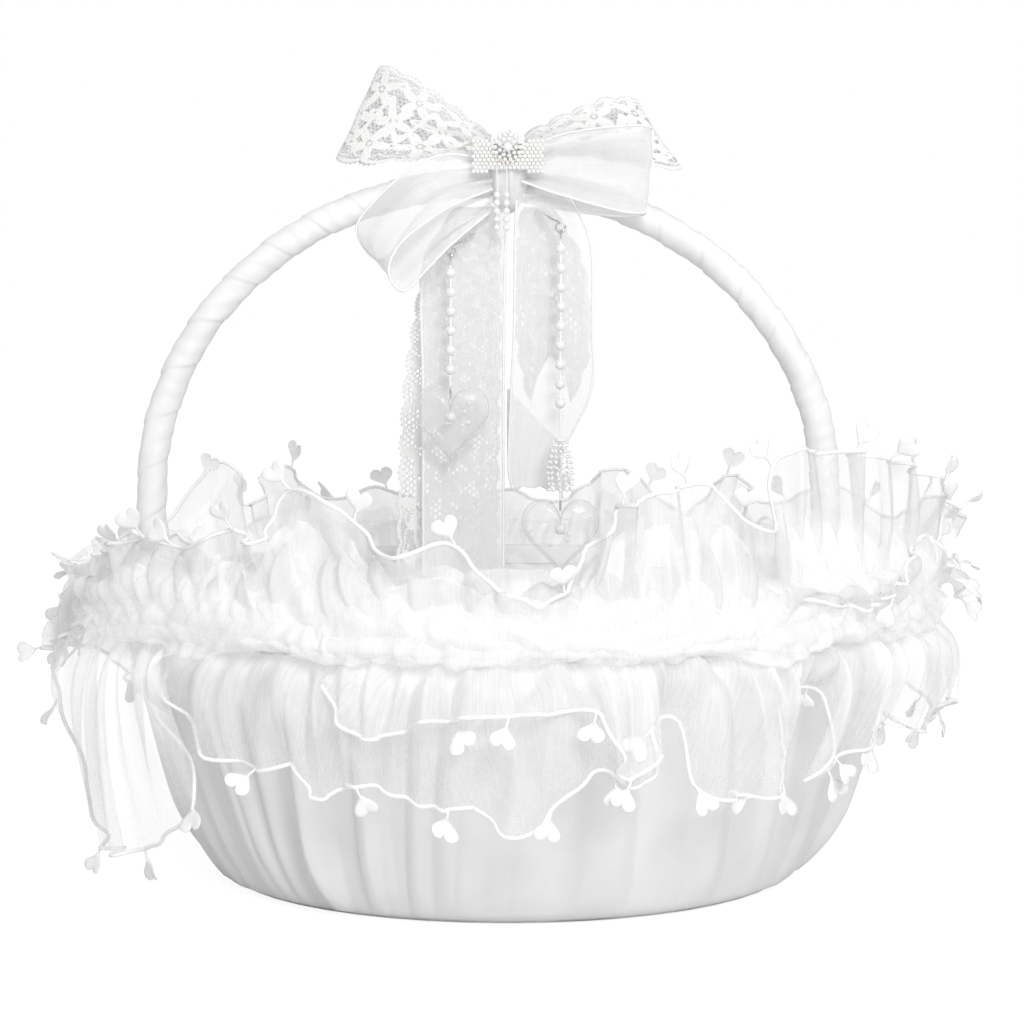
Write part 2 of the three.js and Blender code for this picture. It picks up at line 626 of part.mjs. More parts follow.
function buildStrands() {
  buildStrand('left', LEFT_STRAND_X, LEFT_PIVOT_HEIGHT, 6, 164.3);
  buildHeart('left', LEFT_STRAND_X, 153);
  buildStrand('right', RIGHT_STRAND_X, RIGHT_PIVOT_HEIGHT, 9, 126.8);
  const cap = [[0.9, 0], [0.9, -1.2], [3.4, -9], [3.6, -18], [4.6, -18], [4.4, -9], [1.9, 0], [0.9, 0]];
  add('bead_cap_right', turned(cap, 9), lace()).position.set(RIGHT_STRAND_X, STRAND_Y, 147);
  buildHeart('right', RIGHT_STRAND_X, 115.5);
  buildSeedStrand('left', -3.6, SEED_TOP);
  buildSeedStrand('right', -0.4, SEED_TOP);
}

buildBody();
buildHandle();
buildRuffle();
buildKnot();
buildLoops();
buildTails();
buildBrooch();
buildStrands();

export default basket;
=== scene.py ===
"""Flower girl basket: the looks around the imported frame.

Lengths in the helper functions are in millimetres unless a name says otherwise, and MM turns them into
metres. The basket's axis is Z, the front is -Y, and an angle round the basket runs from +X towards +Y.
"""
import math
import random

import bmesh
import bpy
import numpy as np
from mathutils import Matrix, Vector


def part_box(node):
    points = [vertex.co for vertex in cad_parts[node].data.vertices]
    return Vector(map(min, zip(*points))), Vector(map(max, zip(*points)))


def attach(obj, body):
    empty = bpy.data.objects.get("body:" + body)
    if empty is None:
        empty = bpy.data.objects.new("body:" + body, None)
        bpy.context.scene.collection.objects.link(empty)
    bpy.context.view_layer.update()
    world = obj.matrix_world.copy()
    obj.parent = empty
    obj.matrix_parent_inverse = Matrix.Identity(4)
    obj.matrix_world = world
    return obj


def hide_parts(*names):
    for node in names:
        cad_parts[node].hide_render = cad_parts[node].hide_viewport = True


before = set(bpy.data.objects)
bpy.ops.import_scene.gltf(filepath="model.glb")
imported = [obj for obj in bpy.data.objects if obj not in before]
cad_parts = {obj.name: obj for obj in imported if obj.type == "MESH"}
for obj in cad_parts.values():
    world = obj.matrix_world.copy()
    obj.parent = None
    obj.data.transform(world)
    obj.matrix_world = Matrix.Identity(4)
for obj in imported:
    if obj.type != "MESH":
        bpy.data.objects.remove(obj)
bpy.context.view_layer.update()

MM = 0.001
rng = random.Random(7)

# ---- driving sizes, as in the CAD model ----
BASE_RADIUS = 95.5
RIM_RADIUS = 130.0
RIM_HEIGHT = 98.0
WALL_FLARE = 0.74
HANDLE_CENTRE_X = -6.5
HANDLE_HALF_WIDTH = 114.0
HANDLE_SPRING_HEIGHT = 128.5
HANDLE_RISE = 103.4
HANDLE_LEG_FOOT = 50.0
HANDLE_WRAP_RADIUS = 4.85
LINING_TOTAL = 6.2
LEG_CLEARANCE = 2.4
GATHER_HEIGHT = 87.0
GATHER_RADIUS = 132.4
EDGE_CORD_RADIUS = 0.65
PETAL_WIDTH = 8.5
WIRED_EDGE_RADIUS = 0.45
THREAD_RADIUS = 0.4


def wall_radius(height):
    """The outer radius of the satin cover at a height."""
    share = np.clip(height / RIM_HEIGHT, 0, None)
    return BASE_RADIUS + (RIM_RADIUS - BASE_RADIUS) * share ** WALL_FLARE


ROLL_CENTRE = wall_radius(RIM_HEIGHT) - 3.4


def round_angles(count):
    return np.linspace(0, 2 * math.pi, count, endpoint=False)


def box_mm(node):
    """A CAD node's low and high corners and its centre, in millimetres."""
    low, high = (np.array(corner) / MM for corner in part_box(node))
    return low, high, (low + high) / 2


def in_scene(name, data):
    made = bpy.data.objects.new(name, data)
    bpy.context.scene.collection.objects.link(made)
    return made


# ---- camera, floor and light, in metres ----
CAMERA_PLACE = (0.0014, -1.0, 0.195)
CAMERA_AIM = (0.0014, 0, 0.121)
LIGHT_AIM = (0, 0, 0.1)
LIGHT_SIZE = 0.8
WORLD_LIGHT = 0.52
FLOOR_GLOW = 1.19
FLOOR_GLOW_SHARE = 0.75


def aimed(thing, place, aim):
    thing.location = place
    thing.rotation_euler = (Vector(aim) - Vector(place)).to_track_quat("-Z", "Y").to_euler()


def build_camera():
    data = bpy.data.cameras.new("camera")
    data.lens = 104
    data.sensor_width = 36
    camera = in_scene("camera", data)
    aimed(camera, CAMERA_PLACE, CAMERA_AIM)
    bpy.context.scene.camera = camera


def area_light(name, place, power):
    data = bpy.data.lights.new(name, "AREA")
    data.shape = "DISK"
    data.size = LIGHT_SIZE
    data.energy = power
    aimed(in_scene(name, data), place, LIGHT_AIM)


def build_stage():
    scene = bpy.context.scene
    scene.view_settings.view_transform = "Standard"
    scene.cycles.transparent_max_bounces = 40
    scene.cycles.max_bounces = 8
    world = bpy.data.worlds.new("studio")
    scene.world = world
    world.use_nodes = True
    tree = world.node_tree
    lighting = tree.nodes["Background"]
    lighting.inputs["Color"].default_value = (1, 1, 1, 1)
    lighting.inputs["Strength"].default_value = WORLD_LIGHT
    white = new_node(tree, "ShaderNodeBackground", Strength=1.0, Color=(1, 1, 1, 1))
    seen = new_node(tree, "ShaderNodeLightPath").outputs["Is Camera Ray"]
    mixed_surface(tree, seen, lighting, white, "World Output")
    area_light("key", (0.4, -1.7, 1.0), 19)
    area_light("top", (0.2, 0.2, 1.8), 4)

    corners = [[(x, y, -0.3) for y in (-3000, 9000)] for x in (-6000, 6000)]
    floor = grid_object("floor", np.array(corners, float))
    tree, shader = node_material("floor_paper", (0.9, 0.9, 0.9), 0.9)
    bump(tree, shader, noise(tree, 900), 0.02, 0.0002)
    glow = new_node(tree, "ShaderNodeEmission", Strength=FLOOR_GLOW)
    seen = new_node(tree, "ShaderNodeLightPath").outputs["Is Camera Ray"]
    mixed_surface(tree, maths(tree, "MULTIPLY", seen, FLOOR_GLOW_SHARE), shader, glow, "Material Output")
    floor.data.materials.append(bpy.data.materials["floor_paper"])


# ---- materials ----
NOISE = "ShaderNodeTexNoise"
VORONOI = "ShaderNodeTexVoronoi"
WAVE = "ShaderNodeTexWave"
ORGANZA_PITCH = 0.45
RIBBON_PITCH = 0.4
NET_CELL = 1.7


def node_material(name, colour, roughness, **sockets):
    """A material with its Principled shader's own sockets set: returns its node tree and that shader."""
    made = bpy.data.materials.new(name)
    made.use_nodes = True
    shader = made.node_tree.nodes["Principled BSDF"]
    shader.inputs["Base Color"].default_value = (*colour, 1)
    shader.inputs["Roughness"].default_value = roughness
    for socket, value in sockets.items():
        shader.inputs[socket.replace("_", " ")].default_value = value
    made.diffuse_color = (*colour, 1)
    return made.node_tree, shader


def new_node(tree, kind, **sockets):
    made = tree.nodes.new(kind)
    for socket, value in sockets.items():
        made.inputs[socket.replace("_", " ")].default_value = value
    return made


def mixed_surface(tree, share, first, second, output):
    either = new_node(tree, "ShaderNodeMixShader")
    tree.links.new(share, either.inputs["Fac"])
    tree.links.new(first.outputs[0], either.inputs[1])
    tree.links.new(second.outputs[0], either.inputs[2])
    tree.links.new(either.outputs[0], tree.nodes[output].inputs["Surface"])


def texture(tree, kind, scale, **sockets):
    """A texture's output in object space (metres), so that it keeps its real scale."""
    place = tree.nodes.get("Texture Coordinate") or new_node(tree, "ShaderNodeTexCoord")
    made = new_node(tree, kind, Scale=scale, **sockets)
    tree.links.new(place.outputs["Object"], made.inputs["Vector"])
    return made.outputs["Distance" if kind == VORONOI else "Fac"]


def noise(tree, scale, detail=2.0, **sockets):
    return texture(tree, NOISE, scale, Detail=detail, **sockets)


def maths(tree, operation, *values):
    """A Math node whose inputs are sockets or numbers: returns its output."""
    made = new_node(tree, "ShaderNodeMath")
    made.operation = operation
    for i, value in enumerate(values):
        if isinstance(value, (int, float)):
            made.inputs[i].default_value = value
        else:
            tree.links.new(value, made.inputs[i])
    return made.outputs[0]


def bump(tree, shader, height, strength, distance):
    made = new_node(tree, "ShaderNodeBump", Strength=strength, Distance=distance)
    tree.links.new(height, made.inputs["Height"])
    tree.links.new(made.outputs["Normal"], shader.inputs["Normal"])


def remap(tree, value, low, high, to_low, to_high):
    made = new_node(tree, "ShaderNodeMapRange", From_Min=low, From_Max=high, To_Min=to_low, To_Max=to_high)
    tree.links.new(value, made.inputs["Value"])
    return made.outputs["Result"]


def tint(tree, shader, share, dark, light):
    """Base colour between two colours by a 0 to 1 share."""
    made = new_node(tree, "ShaderNodeMix")
    made.data_type = "RGBA"
    made.inputs["A"].default_value = (*dark, 1)
    made.inputs["B"].default_value = (*light, 1)
    tree.links.new(share, made.inputs["Factor"])
    tree.links.new(made.outputs["Result"], shader.inputs["Base Color"])


def cloth_place(tree):
    """The place on the flat cloth, across and along it, in millimetres: the two outputs of the UV map."""
    place = new_node(tree, "ShaderNodeUVMap")
    split = new_node(tree, "ShaderNodeSeparateXYZ")
    tree.links.new(place.outputs["UV"], split.inputs[0])
    return split.outputs["X"], split.outputs["Y"]


def ripple(tree, value, pitch):
    """A wave from -1 to 1 that repeats at each pitch."""
    return maths(tree, "SINE", maths(tree, "MULTIPLY", value, 2 * math.pi / pitch))


def satin_material(name, colour, roughness):
    tree, shader = node_material(name, colour, roughness, Sheen_Weight=0.25, Sheen_Roughness=0.4,
                                 Anisotropic=0.35, Specular_IOR_Level=0.55)
    weave = noise(tree, 2600)
    crease = noise(tree, 55, 5.0, Distortion=0.6)
    bump(tree, shader, maths(tree, "ADD", maths(tree, "MULTIPLY", weave, 0.12), crease), 0.35, 0.0012)
    # Painted shade: the base colour is 5% darker where the crease noise, which also raises the bump, is low,
    # so the satin's creases look shaded.
    shade = remap(tree, crease, 0.3, 0.7, 0.0, 1.0)
    tint(tree, shader, shade, tuple(c * 0.95 for c in colour), colour)
    rough = remap(tree, weave, 0.3, 0.7, roughness - 0.05, roughness + 0.08)
    tree.links.new(rough, shader.inputs["Roughness"])


def organza_material(name, shade, cover, streak, thin=0.0, glow=0.0, near=0.0, far=0.0, pitch=ORGANZA_PITCH):
    """Sheer woven cloth: cover is the share of light that its threads stop, and pitch their spacing.

    streak is how far the cover varies along the threads, and thin how much it falls from a gather to its
    hem. glow is painted light: an even emission that stands in for the light that many thin layers scatter
    on to each other. near is how much more painted light there is close to the gather, where it lifts the
    shade that the frills above cast, and far is how much the cover falls on a long drop."""
    tree, shader = node_material(name, (shade, shade, shade), 0.5, Sheen_Weight=0.3, Sheen_Roughness=0.35,
                                 Specular_IOR_Level=0.4, Emission_Color=(1, 1, 1, 1), Emission_Strength=glow)
    across, along = cloth_place(tree)
    threads = maths(tree, "MAXIMUM", ripple(tree, across, pitch), ripple(tree, along, pitch))
    streaks = new_node(tree, NOISE, Scale=1.0, Detail=3.0)
    drawn = new_node(tree, "ShaderNodeCombineXYZ")
    tree.links.new(maths(tree, "MULTIPLY", across, 0.9), drawn.inputs["X"])
    tree.links.new(maths(tree, "MULTIPLY", along, 0.05), drawn.inputs["Y"])
    tree.links.new(drawn.outputs[0], streaks.inputs["Vector"])
    alpha = maths(tree, "ADD", cover, maths(tree, "MULTIPLY", threads, 0.02))
    changes = [remap(tree, streaks.outputs["Fac"], 0.3, 0.7, -streak, streak),
               remap(tree, noise(tree, 120, 4.0), 0.3, 0.7, -0.05, 0.05)]
    if thin:
        changes.append(remap(tree, along, 4.0, 34.0, thin, -thin))
    for change in changes:
        alpha = maths(tree, "ADD", alpha, change)
    if far:
        alpha = maths(tree, "SUBTRACT", alpha, remap(tree, along, 36.0, 56.0, 0.0, far))
    if near:
        # painted light: the emission is raised close to the gather, where the frills above cast shade
        tree.links.new(remap(tree, along, 2.0, 30.0, glow + near, glow), shader.inputs["Emission Strength"])
    tree.links.new(alpha, shader.inputs["Alpha"])
    bump(tree, shader, threads, 0.12, 0.0001)


def lace_material():
    """White lace: a hexagon net of fine thread, and dense flowers and borders where 'motif' is 1."""
    tree, shader = node_material("lace_thread", (0.96, 0.96, 0.95), 0.75, Sheen_Weight=0.2)
    across, along = cloth_place(tree)
    waves = []
    for turn in (0, 60, 120):
        angle = math.radians(turn)
        k = 2 * math.pi / (NET_CELL * 0.866)
        line = maths(tree, "ADD", maths(tree, "MULTIPLY", across, k * math.cos(angle)),
                     maths(tree, "MULTIPLY", along, k * math.sin(angle)))
        waves.append(maths(tree, "COSINE", line))
    holes = maths(tree, "ADD", maths(tree, "ADD", waves[0], waves[1]), waves[2])
    net = remap(tree, holes, 0.5, -0.2, 0.04, 0.8)
    motif = new_node(tree, "ShaderNodeAttribute")
    motif.attribute_name = "motif"
    stitch = maths(tree, "MULTIPLY", ripple(tree, across, 0.55), ripple(tree, along, 0.7))
    dense = remap(tree, maths(tree, "ADD", motif.outputs["Fac"], maths(tree, "MULTIPLY", stitch, 0.1)),
                  0.34, 0.5, 0.0, 1.0)
    tree.links.new(maths(tree, "MAXIMUM", net, dense), shader.inputs["Alpha"])
    # Painted shade: the open net's thread is painted grey and the dense flowers near white, so the net looks
    # shaded between the flowers.
    tint(tree, shader, dense, (0.78, 0.78, 0.78), (0.98, 0.98, 0.97))
    bump(tree, shader, maths(tree, "ADD", dense, maths(tree, "MULTIPLY", stitch, 0.5)), 0.5, 0.0003)


def plain_material(name, colour, roughness, grain, relief=None, shades=None, **sockets):
    """A material with one texture, its grain: (kind, scale, sockets).

    relief is the strength and depth in metres of its bump, and shades are the two colours it goes between."""
    tree, shader = node_material(name, colour, roughness, **sockets)
    kind, scale, own = grain
    height = texture(tree, kind, scale, **own)
    if shades:
        tint(tree, shader, height, *shades)
    if relief:
        bump(tree, shader, height, *relief)
    return tree, shader, height


def make_materials():
    for name, shade, roughness in (("satin_white", 0.86, 0.33), ("ribbon_satin", 0.95, 0.42),
                                   ("petal_cloth", 0.97, 0.5)):
        satin_material(name, (shade, shade, shade), roughness)
    # The ruffle's organza comes as lit and shaded copies of one cloth: organza_frill is painted darker, as
    # painted shade for the shaded hems, with painted light only near its gather; organza_lower is lighter
    # with a little painted glow; organza_puff and organza_fluff are near white with more painted glow, and
    # organza_knot has a little painted glow too.
    organza_material("organza_frill", 0.83, cover=0.55, streak=0.04, thin=0.14, near=0.18, far=0.2)
    organza_material("organza_lower", 0.9, cover=0.46, streak=0.05, thin=0.15, glow=0.06, near=0.14, far=0.2)
    for name, glow in (("organza_puff", 0.09), ("organza_fluff", 0.15)):
        organza_material(name, 0.98, cover=0.38, streak=0.03, thin=0.06, glow=glow)
    organza_material("organza_ribbon", 0.93, cover=0.58, streak=0.03, pitch=RIBBON_PITCH)
    organza_material("organza_knot", 0.94, cover=0.8, streak=0.03, glow=0.04, pitch=RIBBON_PITCH)
    lace_material()

    fine = {"Detail": 2.0}
    plain_material("cord_thread", (0.98, 0.98, 0.98), 0.45, (NOISE, 1500, fine), relief=(0.3, 0.0003),
                   Sheen_Weight=0.3)
    plain_material("pearl_bead", (0.95, 0.94, 0.92), 0.22, (NOISE, 300, fine),
                   shades=((0.93, 0.91, 0.89), (0.97, 0.97, 0.97)), Coat_Weight=0.6, Coat_Roughness=0.1,
                   Sheen_Weight=0.3)
    plain_material("crystal", (1.0, 1.0, 1.0), 0.02, (VORONOI, 900, {}), relief=(0.4, 0.0004),
                   Transmission_Weight=0.3, IOR=1.7)
    plain_material("willow", (0.6, 0.42, 0.24), 0.6, (WAVE, 160, {"Distortion": 2.0}), relief=(0.6, 0.0015),
                   shades=((0.42, 0.27, 0.14), (0.68, 0.5, 0.3)))
    plain_material("fibre_board", (0.55, 0.42, 0.28), 0.8, (NOISE, 700, {"Detail": 6.0}),
                   relief=(0.3, 0.0004), shades=((0.45, 0.33, 0.2), (0.64, 0.5, 0.34)))
    plain_material("foam_pad", (0.93, 0.93, 0.9), 0.95, (VORONOI, 1200, {}), relief=(0.5, 0.0006))

    tree, shader, drawn = plain_material("silver_wire", (0.86, 0.86, 0.87), 0.22, (NOISE, 700, fine),
                                         Metallic=1.0)
    tree.links.new(remap(tree, drawn, 0.3, 0.7, 0.16, 0.32), shader.inputs["Roughness"])
    tree, shader, scuffs = plain_material("clear_shell", (0.93, 0.93, 0.94), 0.05,
                                          (NOISE, 500, {"Detail": 3.0}), Coat_Weight=1.0, Coat_Roughness=0.03)
    tree.links.new(remap(tree, scuffs, 0.4, 0.8, 0.02, 0.09), shader.inputs["Roughness"])
    # Painted reflection: the shell turns more opaque towards its grazing rim, so its own pale colour stands
    # in for the light that clear acrylic reflects there.
    edge = new_node(tree, "ShaderNodeLayerWeight", Blend=0.35)
    tree.links.new(remap(tree, edge.outputs["Facing"], 0.15, 0.85, 0.09, 0.7), shader.inputs["Alpha"])


# ---- mesh helpers ----
def mesh_object(name, points, faces, material=None, uv=None):
    data = bpy.data.meshes.new(name)
    data.from_pydata([tuple(p) for p in np.asarray(points, float) * MM], [], faces)
    if uv is not None:
        layer = data.uv_layers.new(name="UVMap")
        loops = np.zeros(len(data.loops), np.int32)
        data.loops.foreach_get("vertex_index", loops)
        layer.data.foreach_set("uv", np.asarray(uv, np.float32)[loops].ravel())
    data.polygons.foreach_set("use_smooth", [True] * len(data.polygons))
    data.update()
    made = in_scene(name, data)
    if material:
        data.materials.append(bpy.data.materials[material])
    return made


def grid_faces(rows, columns, wrap_rows=False, wrap_columns=False):
    i, j = np.meshgrid(np.arange(rows if wrap_rows else rows - 1),
                       np.arange(columns if wrap_columns else columns - 1), indexing="ij")
    down = (i + 1) % rows
    right = (j + 1) % columns
    quads = np.stack([i * columns + j, down * columns + j, down * columns + right, i * columns + right], -1)
    return quads.reshape(-1, 4).tolist()


def capped_faces(rows, sides):
    """The faces of an open tube, with a cap on both ends."""
    faces = grid_faces(rows, sides, wrap_columns=True)
    faces.append(list(range(sides))[::-1])
    faces.append([(rows - 1) * sides + i for i in range(sides)])
    return faces


def grid_uv(grid):
    """UV in millimetres on the flat cloth: V runs along the rows, and U across them at the full width."""
    width = np.linalg.norm(np.diff(grid, axis=1), axis=2).sum(axis=1).max()
    along = np.linalg.norm(np.diff(grid, axis=0), axis=2).mean(axis=1)
    u = np.linspace(0, width, grid.shape[1])[None, :] + np.zeros((len(grid), 1))
    v = np.concatenate([[0], np.cumsum(along)])[:, None] + 0 * u
    return np.stack([u, v], -1).reshape(-1, 2)


def grid_object(name, grid, material=None, wrap_rows=False, wrap_columns=False, uv=None):
    faces = grid_faces(*grid.shape[:2], wrap_rows, wrap_columns)
    if uv is None:
        uv = grid_uv(grid)
    return mesh_object(name, grid.reshape(-1, 3), faces, material, uv)


def hermite(knots, values, at, period=None):
    """A smooth curve through values at knots: each column is interpolated at the given places."""
    knots = np.asarray(knots, float)
    values = np.asarray(values, float)
    at = np.asarray(at, float)
    if period:
        knots = np.concatenate([knots[-2:] - period, knots, knots[:2] + period])
        values = np.concatenate([values[-2:], values, values[:2]])
        at = (at - knots[2]) % period + knots[2]
    slopes = np.gradient(values, knots, axis=0)
    i = np.clip(np.searchsorted(knots, at, side="right") - 1, 0, len(knots) - 2)
    width = knots[i + 1] - knots[i]
    t = (at - knots[i]) / width
    t, width = t[:, None], width[:, None]
    return ((2 * t ** 3 - 3 * t ** 2 + 1) * values[i] + (t ** 3 - 2 * t ** 2 + t) * width * slopes[i]
            + (3 * t ** 2 - 2 * t ** 3) * values[i + 1] + (t ** 3 - t ** 2) * width * slopes[i + 1])


def way_along(path):
    """How far along a path each of its points is."""
    return np.concatenate([[0], np.cumsum(np.linalg.norm(np.diff(path, axis=0), axis=1))])


def frames_along(path, closed=False):
    """Two unit vectors square to a path at each of its points, without twist."""
    ahead = np.roll(path, -1, axis=0)
    behind = np.roll(path, 1, axis=0)
    if not closed:
        ahead[-1], behind[0] = path[-1], path[0]
    tangents = ahead - behind
    tangents /= np.linalg.norm(tangents, axis=1)[:, None]
    side = np.cross(tangents[0], (0, 0, 1) if abs(tangents[0][2]) < 0.9 else (0, 1, 0))
    sides = []
    for tangent in tangents:
        side = side - tangent * np.dot(side, tangent)
        side = side / np.linalg.norm(side)
        sides.append(side)
    sides = np.array(sides)
    return tangents, sides, np.cross(tangents, sides)


def tube_grid(path, radius, sides, closed=False):
    path = np.asarray(path, float)
    _, first, second = frames_along(path, closed)
    turn = np.arange(sides) * 2 * math.pi / sides
    reach = np.broadcast_to(np.asarray(radius, float), (len(path),))[:, None, None]
    return path[:, None] + reach * (first[:, None] * np.cos(turn)[None, :, None]
                                    + second[:, None] * np.sin(turn)[None, :, None])


def open_tube(path, radius, sides):
    """A tube without ends, as a (points, faces) pair."""
    grid = tube_grid(path, radius, sides)
    return grid.reshape(-1, 3), grid_faces(len(grid), sides, wrap_columns=True)


def tube_object(name, path, radius, sides, material, closed=False):
    grid = tube_grid(path, radius, sides, closed)
    faces = grid_faces(len(grid), sides, True, True) if closed else capped_faces(len(grid), sides)
    return mesh_object(name, grid.reshape(-1, 3), faces, material)


def sphere_mesh(centre, radius, rings, segments):
    points = []
    for i in range(1, rings):
        lat = math.pi * i / rings
        for j in range(segments):
            lon = 2 * math.pi * j / segments
            points.append((radius * math.sin(lat) * math.cos(lon), radius * math.sin(lat) * math.sin(lon),
                           radius * math.cos(lat)))
    points += [(0, 0, radius), (0, 0, -radius)]
    faces = grid_faces(rings - 1, segments, wrap_columns=True)
    top, foot = len(points) - 2, len(points) - 1
    last = (rings - 2) * segments
    for j in range(segments):
        after = (j + 1) % segments
        faces.append([top, j, after])
        faces.append([foot, last + after, last + j])
    return np.array(points) + np.array(centre), faces


def joined(name, parts, material):
    """One object from several (points, faces) pairs."""
    points, faces, start = [], [], 0
    for some, own in parts:
        points.append(some)
        faces += [[i + start for i in face] for face in own]
        start += len(some)
    made = mesh_object(name, np.concatenate(points), faces, material)
    shell = bmesh.new()
    shell.from_mesh(made.data)
    bmesh.ops.recalc_face_normals(shell, faces=shell.faces)
    shell.to_mesh(made.data)
    shell.free()
    return made


def put(piece, body, slot, *nodes):
    """Says which body a piece rides on and the CAD nodes that it takes the place of; slot is not used."""
    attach(piece, body)
    if nodes:
        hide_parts(*nodes)


def on_root(piece, slot, *nodes):
    put(piece, "root", slot, *nodes)


def wobble(at, waves, seed):
    """A smooth irregular wave of about unit size, periodic over a full turn: at is in radians, and waves
    are how many of each wave fit in the turn."""
    draw = random.Random(seed)
    total = np.zeros_like(at)
    for count in waves:
        total += draw.uniform(0.5, 1.0) * np.sin(count * at + draw.uniform(0, 2 * math.pi))
    return total / math.sqrt(len(waves))


# ---- basket body ----
def polar(radius, angle, height):
    return np.stack([radius * np.cos(angle), radius * np.sin(angle), height + 0 * angle], -1)


COVER_DEEP_ANGLE = math.radians(-122)
COVER_CREST_ANGLE = math.radians(-76)


def cover_folds(angle, height):
    """How far the pleated satin stands off the wall: drapes run down from the gather and fade at the base.

    The ridges are deepest on the left of the front, and the crest is one sharp fold right of its middle."""
    share = np.clip(height / GATHER_HEIGHT, 0, 1)
    lean = angle + 0.10 * np.sin(angle * 3 + 0.5) * (1 - share)
    pleats = np.maximum(0, wobble(lean, (41, 53, 67), 3)) * 1.6 * share ** 1.3
    drape = np.maximum(0, wobble(lean + 0.05 * share, (17, 23, 29), 5)) ** 1.2 * 3.4
    broad = (1 + wobble(angle, (5, 8, 11), 9)) * 0.9
    deep_left = np.exp((np.cos(angle - COVER_DEEP_ANGLE) - 1) / 0.09)
    ridges = np.maximum(0, np.sin(38 * lean + 1.2 * np.sin(4 * angle))) ** 0.8 * 5.6 * deep_left
    crest = np.exp((np.cos(lean - COVER_CREST_ANGLE) - 1) / 0.0006) * 4.6 * (1 - 0.4 * share)
    fade = np.sin(np.clip(height / 26, 0, 1) * math.pi / 2) ** 0.8
    return (0.3 + pleats + drape * 1.5 + broad + ridges + crest) * fade * (1 - 0.35 * share)


def build_cover():
    angle = round_angles(900)
    rows = []
    for inset, height in ((3.5, 0.35), (1.4, 0.3), (0.3, 0.8)):
        rows.append(polar(BASE_RADIUS - inset + 0 * angle, angle, height))
    for height in np.linspace(2.2, RIM_HEIGHT - 1, 46):
        stand = cover_folds(angle, height + 0 * angle) * (height < 93)
        rows.append(polar(wall_radius(height) + stand + 0.4, angle, height))
    tucks = wobble(angle, (60, 77), 21)
    for turn in np.radians((70, 90, 110, 140, 165)):
        bulge = (3.6 + 0.25 * tucks) * math.cos(turn)
        rows.append(polar(ROLL_CENTRE + bulge, angle, 96.4 + 2.9 * math.sin(turn)))
    for inset, height in ((3.9, 95.6), (4.3, 94), (4.6, 92.4)):
        rows.append(polar(ROLL_CENTRE - inset + 0.15 * tucks, angle, height))
    cover = grid_object("satin_cover_cloth", np.array(rows), "satin_white", wrap_columns=True)
    on_root(cover, "satin", "satin_cover")


def build_lining():
    """The satin inside: it falls from the rolled rim and covers the floor as a low cushion with tucks."""
    angle = round_angles(480)
    low, _, _ = box_mm("satin_lining")
    floor_top = low[2] + 0.8
    folds = np.maximum(0, wobble(angle, (31, 37, 47), 12))
    rows = [polar(ROLL_CENTRE - 3.3 + 0 * angle, angle, 96.6)]
    top = 95.4
    for share in np.linspace(0, 1, 26):
        height = top - (top - floor_top - 3) * share
        stand = 0.3 + 1.3 * folds * math.sin(math.pi * min(1, share * 0.9 + 0.02)) ** 0.8
        rows.append(polar(wall_radius(height) - LINING_TOTAL + 0.35 - stand, angle, height))
    foot = wall_radius(floor_top) - LINING_TOTAL
    for share in np.linspace(0.05, 1, 22):
        radius = (foot - 1.5) * (1 - share) + 0.2
        dome = 2.6 * math.sin(math.pi / 2 * min(1, share * 1.4))
        puff = dome + 0.5 * wobble(angle, (9, 13), 4) * (1 - share)
        crease = -0.7 * folds * (1 - share) ** 3
        rows.append(polar(radius, angle, floor_top + 0.2 + puff + crease))
    lining = grid_object("satin_lining_cloth", np.array(rows), "satin_white", wrap_columns=True)
    on_root(lining, "satin", "satin_lining")


def build_pad():
    """The foam pad: a disc with a rounded edge and a top that is a little lower towards the edge."""
    low, high, _ = box_mm("floor_pad")
    radius = high[0]
    thick = high[2] - low[2]
    edge = 1.6
    profile = [(radius * math.sin(math.pi / 2 * share), 0) for share in np.linspace(0, 1, 14)]
    for turn in np.radians(np.linspace(-80, 80, 9)):
        profile.append((radius - edge + edge * math.cos(turn), thick * (0.5 + 0.45 * math.sin(turn))))
    for share in np.linspace(1, 0, 16)[1:]:
        profile.append((radius * math.sin(math.pi / 2 * share), thick * (0.95 + 0.05 * (1 - share))))
    sides = 64
    angle = round_angles(sides)
    grid = np.array([polar(max(r, 0.05) + 0 * angle, angle, low[2] + z) for r, z in profile])
    pad = mesh_object("floor_cushion", grid.reshape(-1, 3), capped_faces(len(grid), sides), "foam_pad")
    on_root(pad, "foam", "floor_pad")


# ---- handle ----
def leg_x(side, height):
    """Where a handle leg stands: inside the lining up to the rim, and straight above it."""
    straight = abs(HANDLE_CENTRE_X + side * HANDLE_HALF_WIDTH)
    inside = wall_radius(min(height, RIM_HEIGHT)) - LINING_TOTAL - HANDLE_WRAP_RADIUS - LEG_CLEARANCE
    return side * min(straight, straight if height > 110 else inside)


def handle_path():
    leg = (HANDLE_LEG_FOOT, 66, 82, 98, 116)
    points = [(leg_x(-1, height), 0, height) for height in leg]
    for i in range(17):
        angle = math.pi * (1 - i / 16)
        points.append((HANDLE_CENTRE_X + HANDLE_HALF_WIDTH * math.cos(angle), 0,
                       HANDLE_SPRING_HEIGHT + HANDLE_RISE * math.sin(angle)))
    points += [(leg_x(1, height), 0, height) for height in leg[::-1]]
    points = np.array(points, float)
    chord = way_along(points)
    return hermite(chord, points, np.linspace(0, chord[-1], 900)), chord[-1]


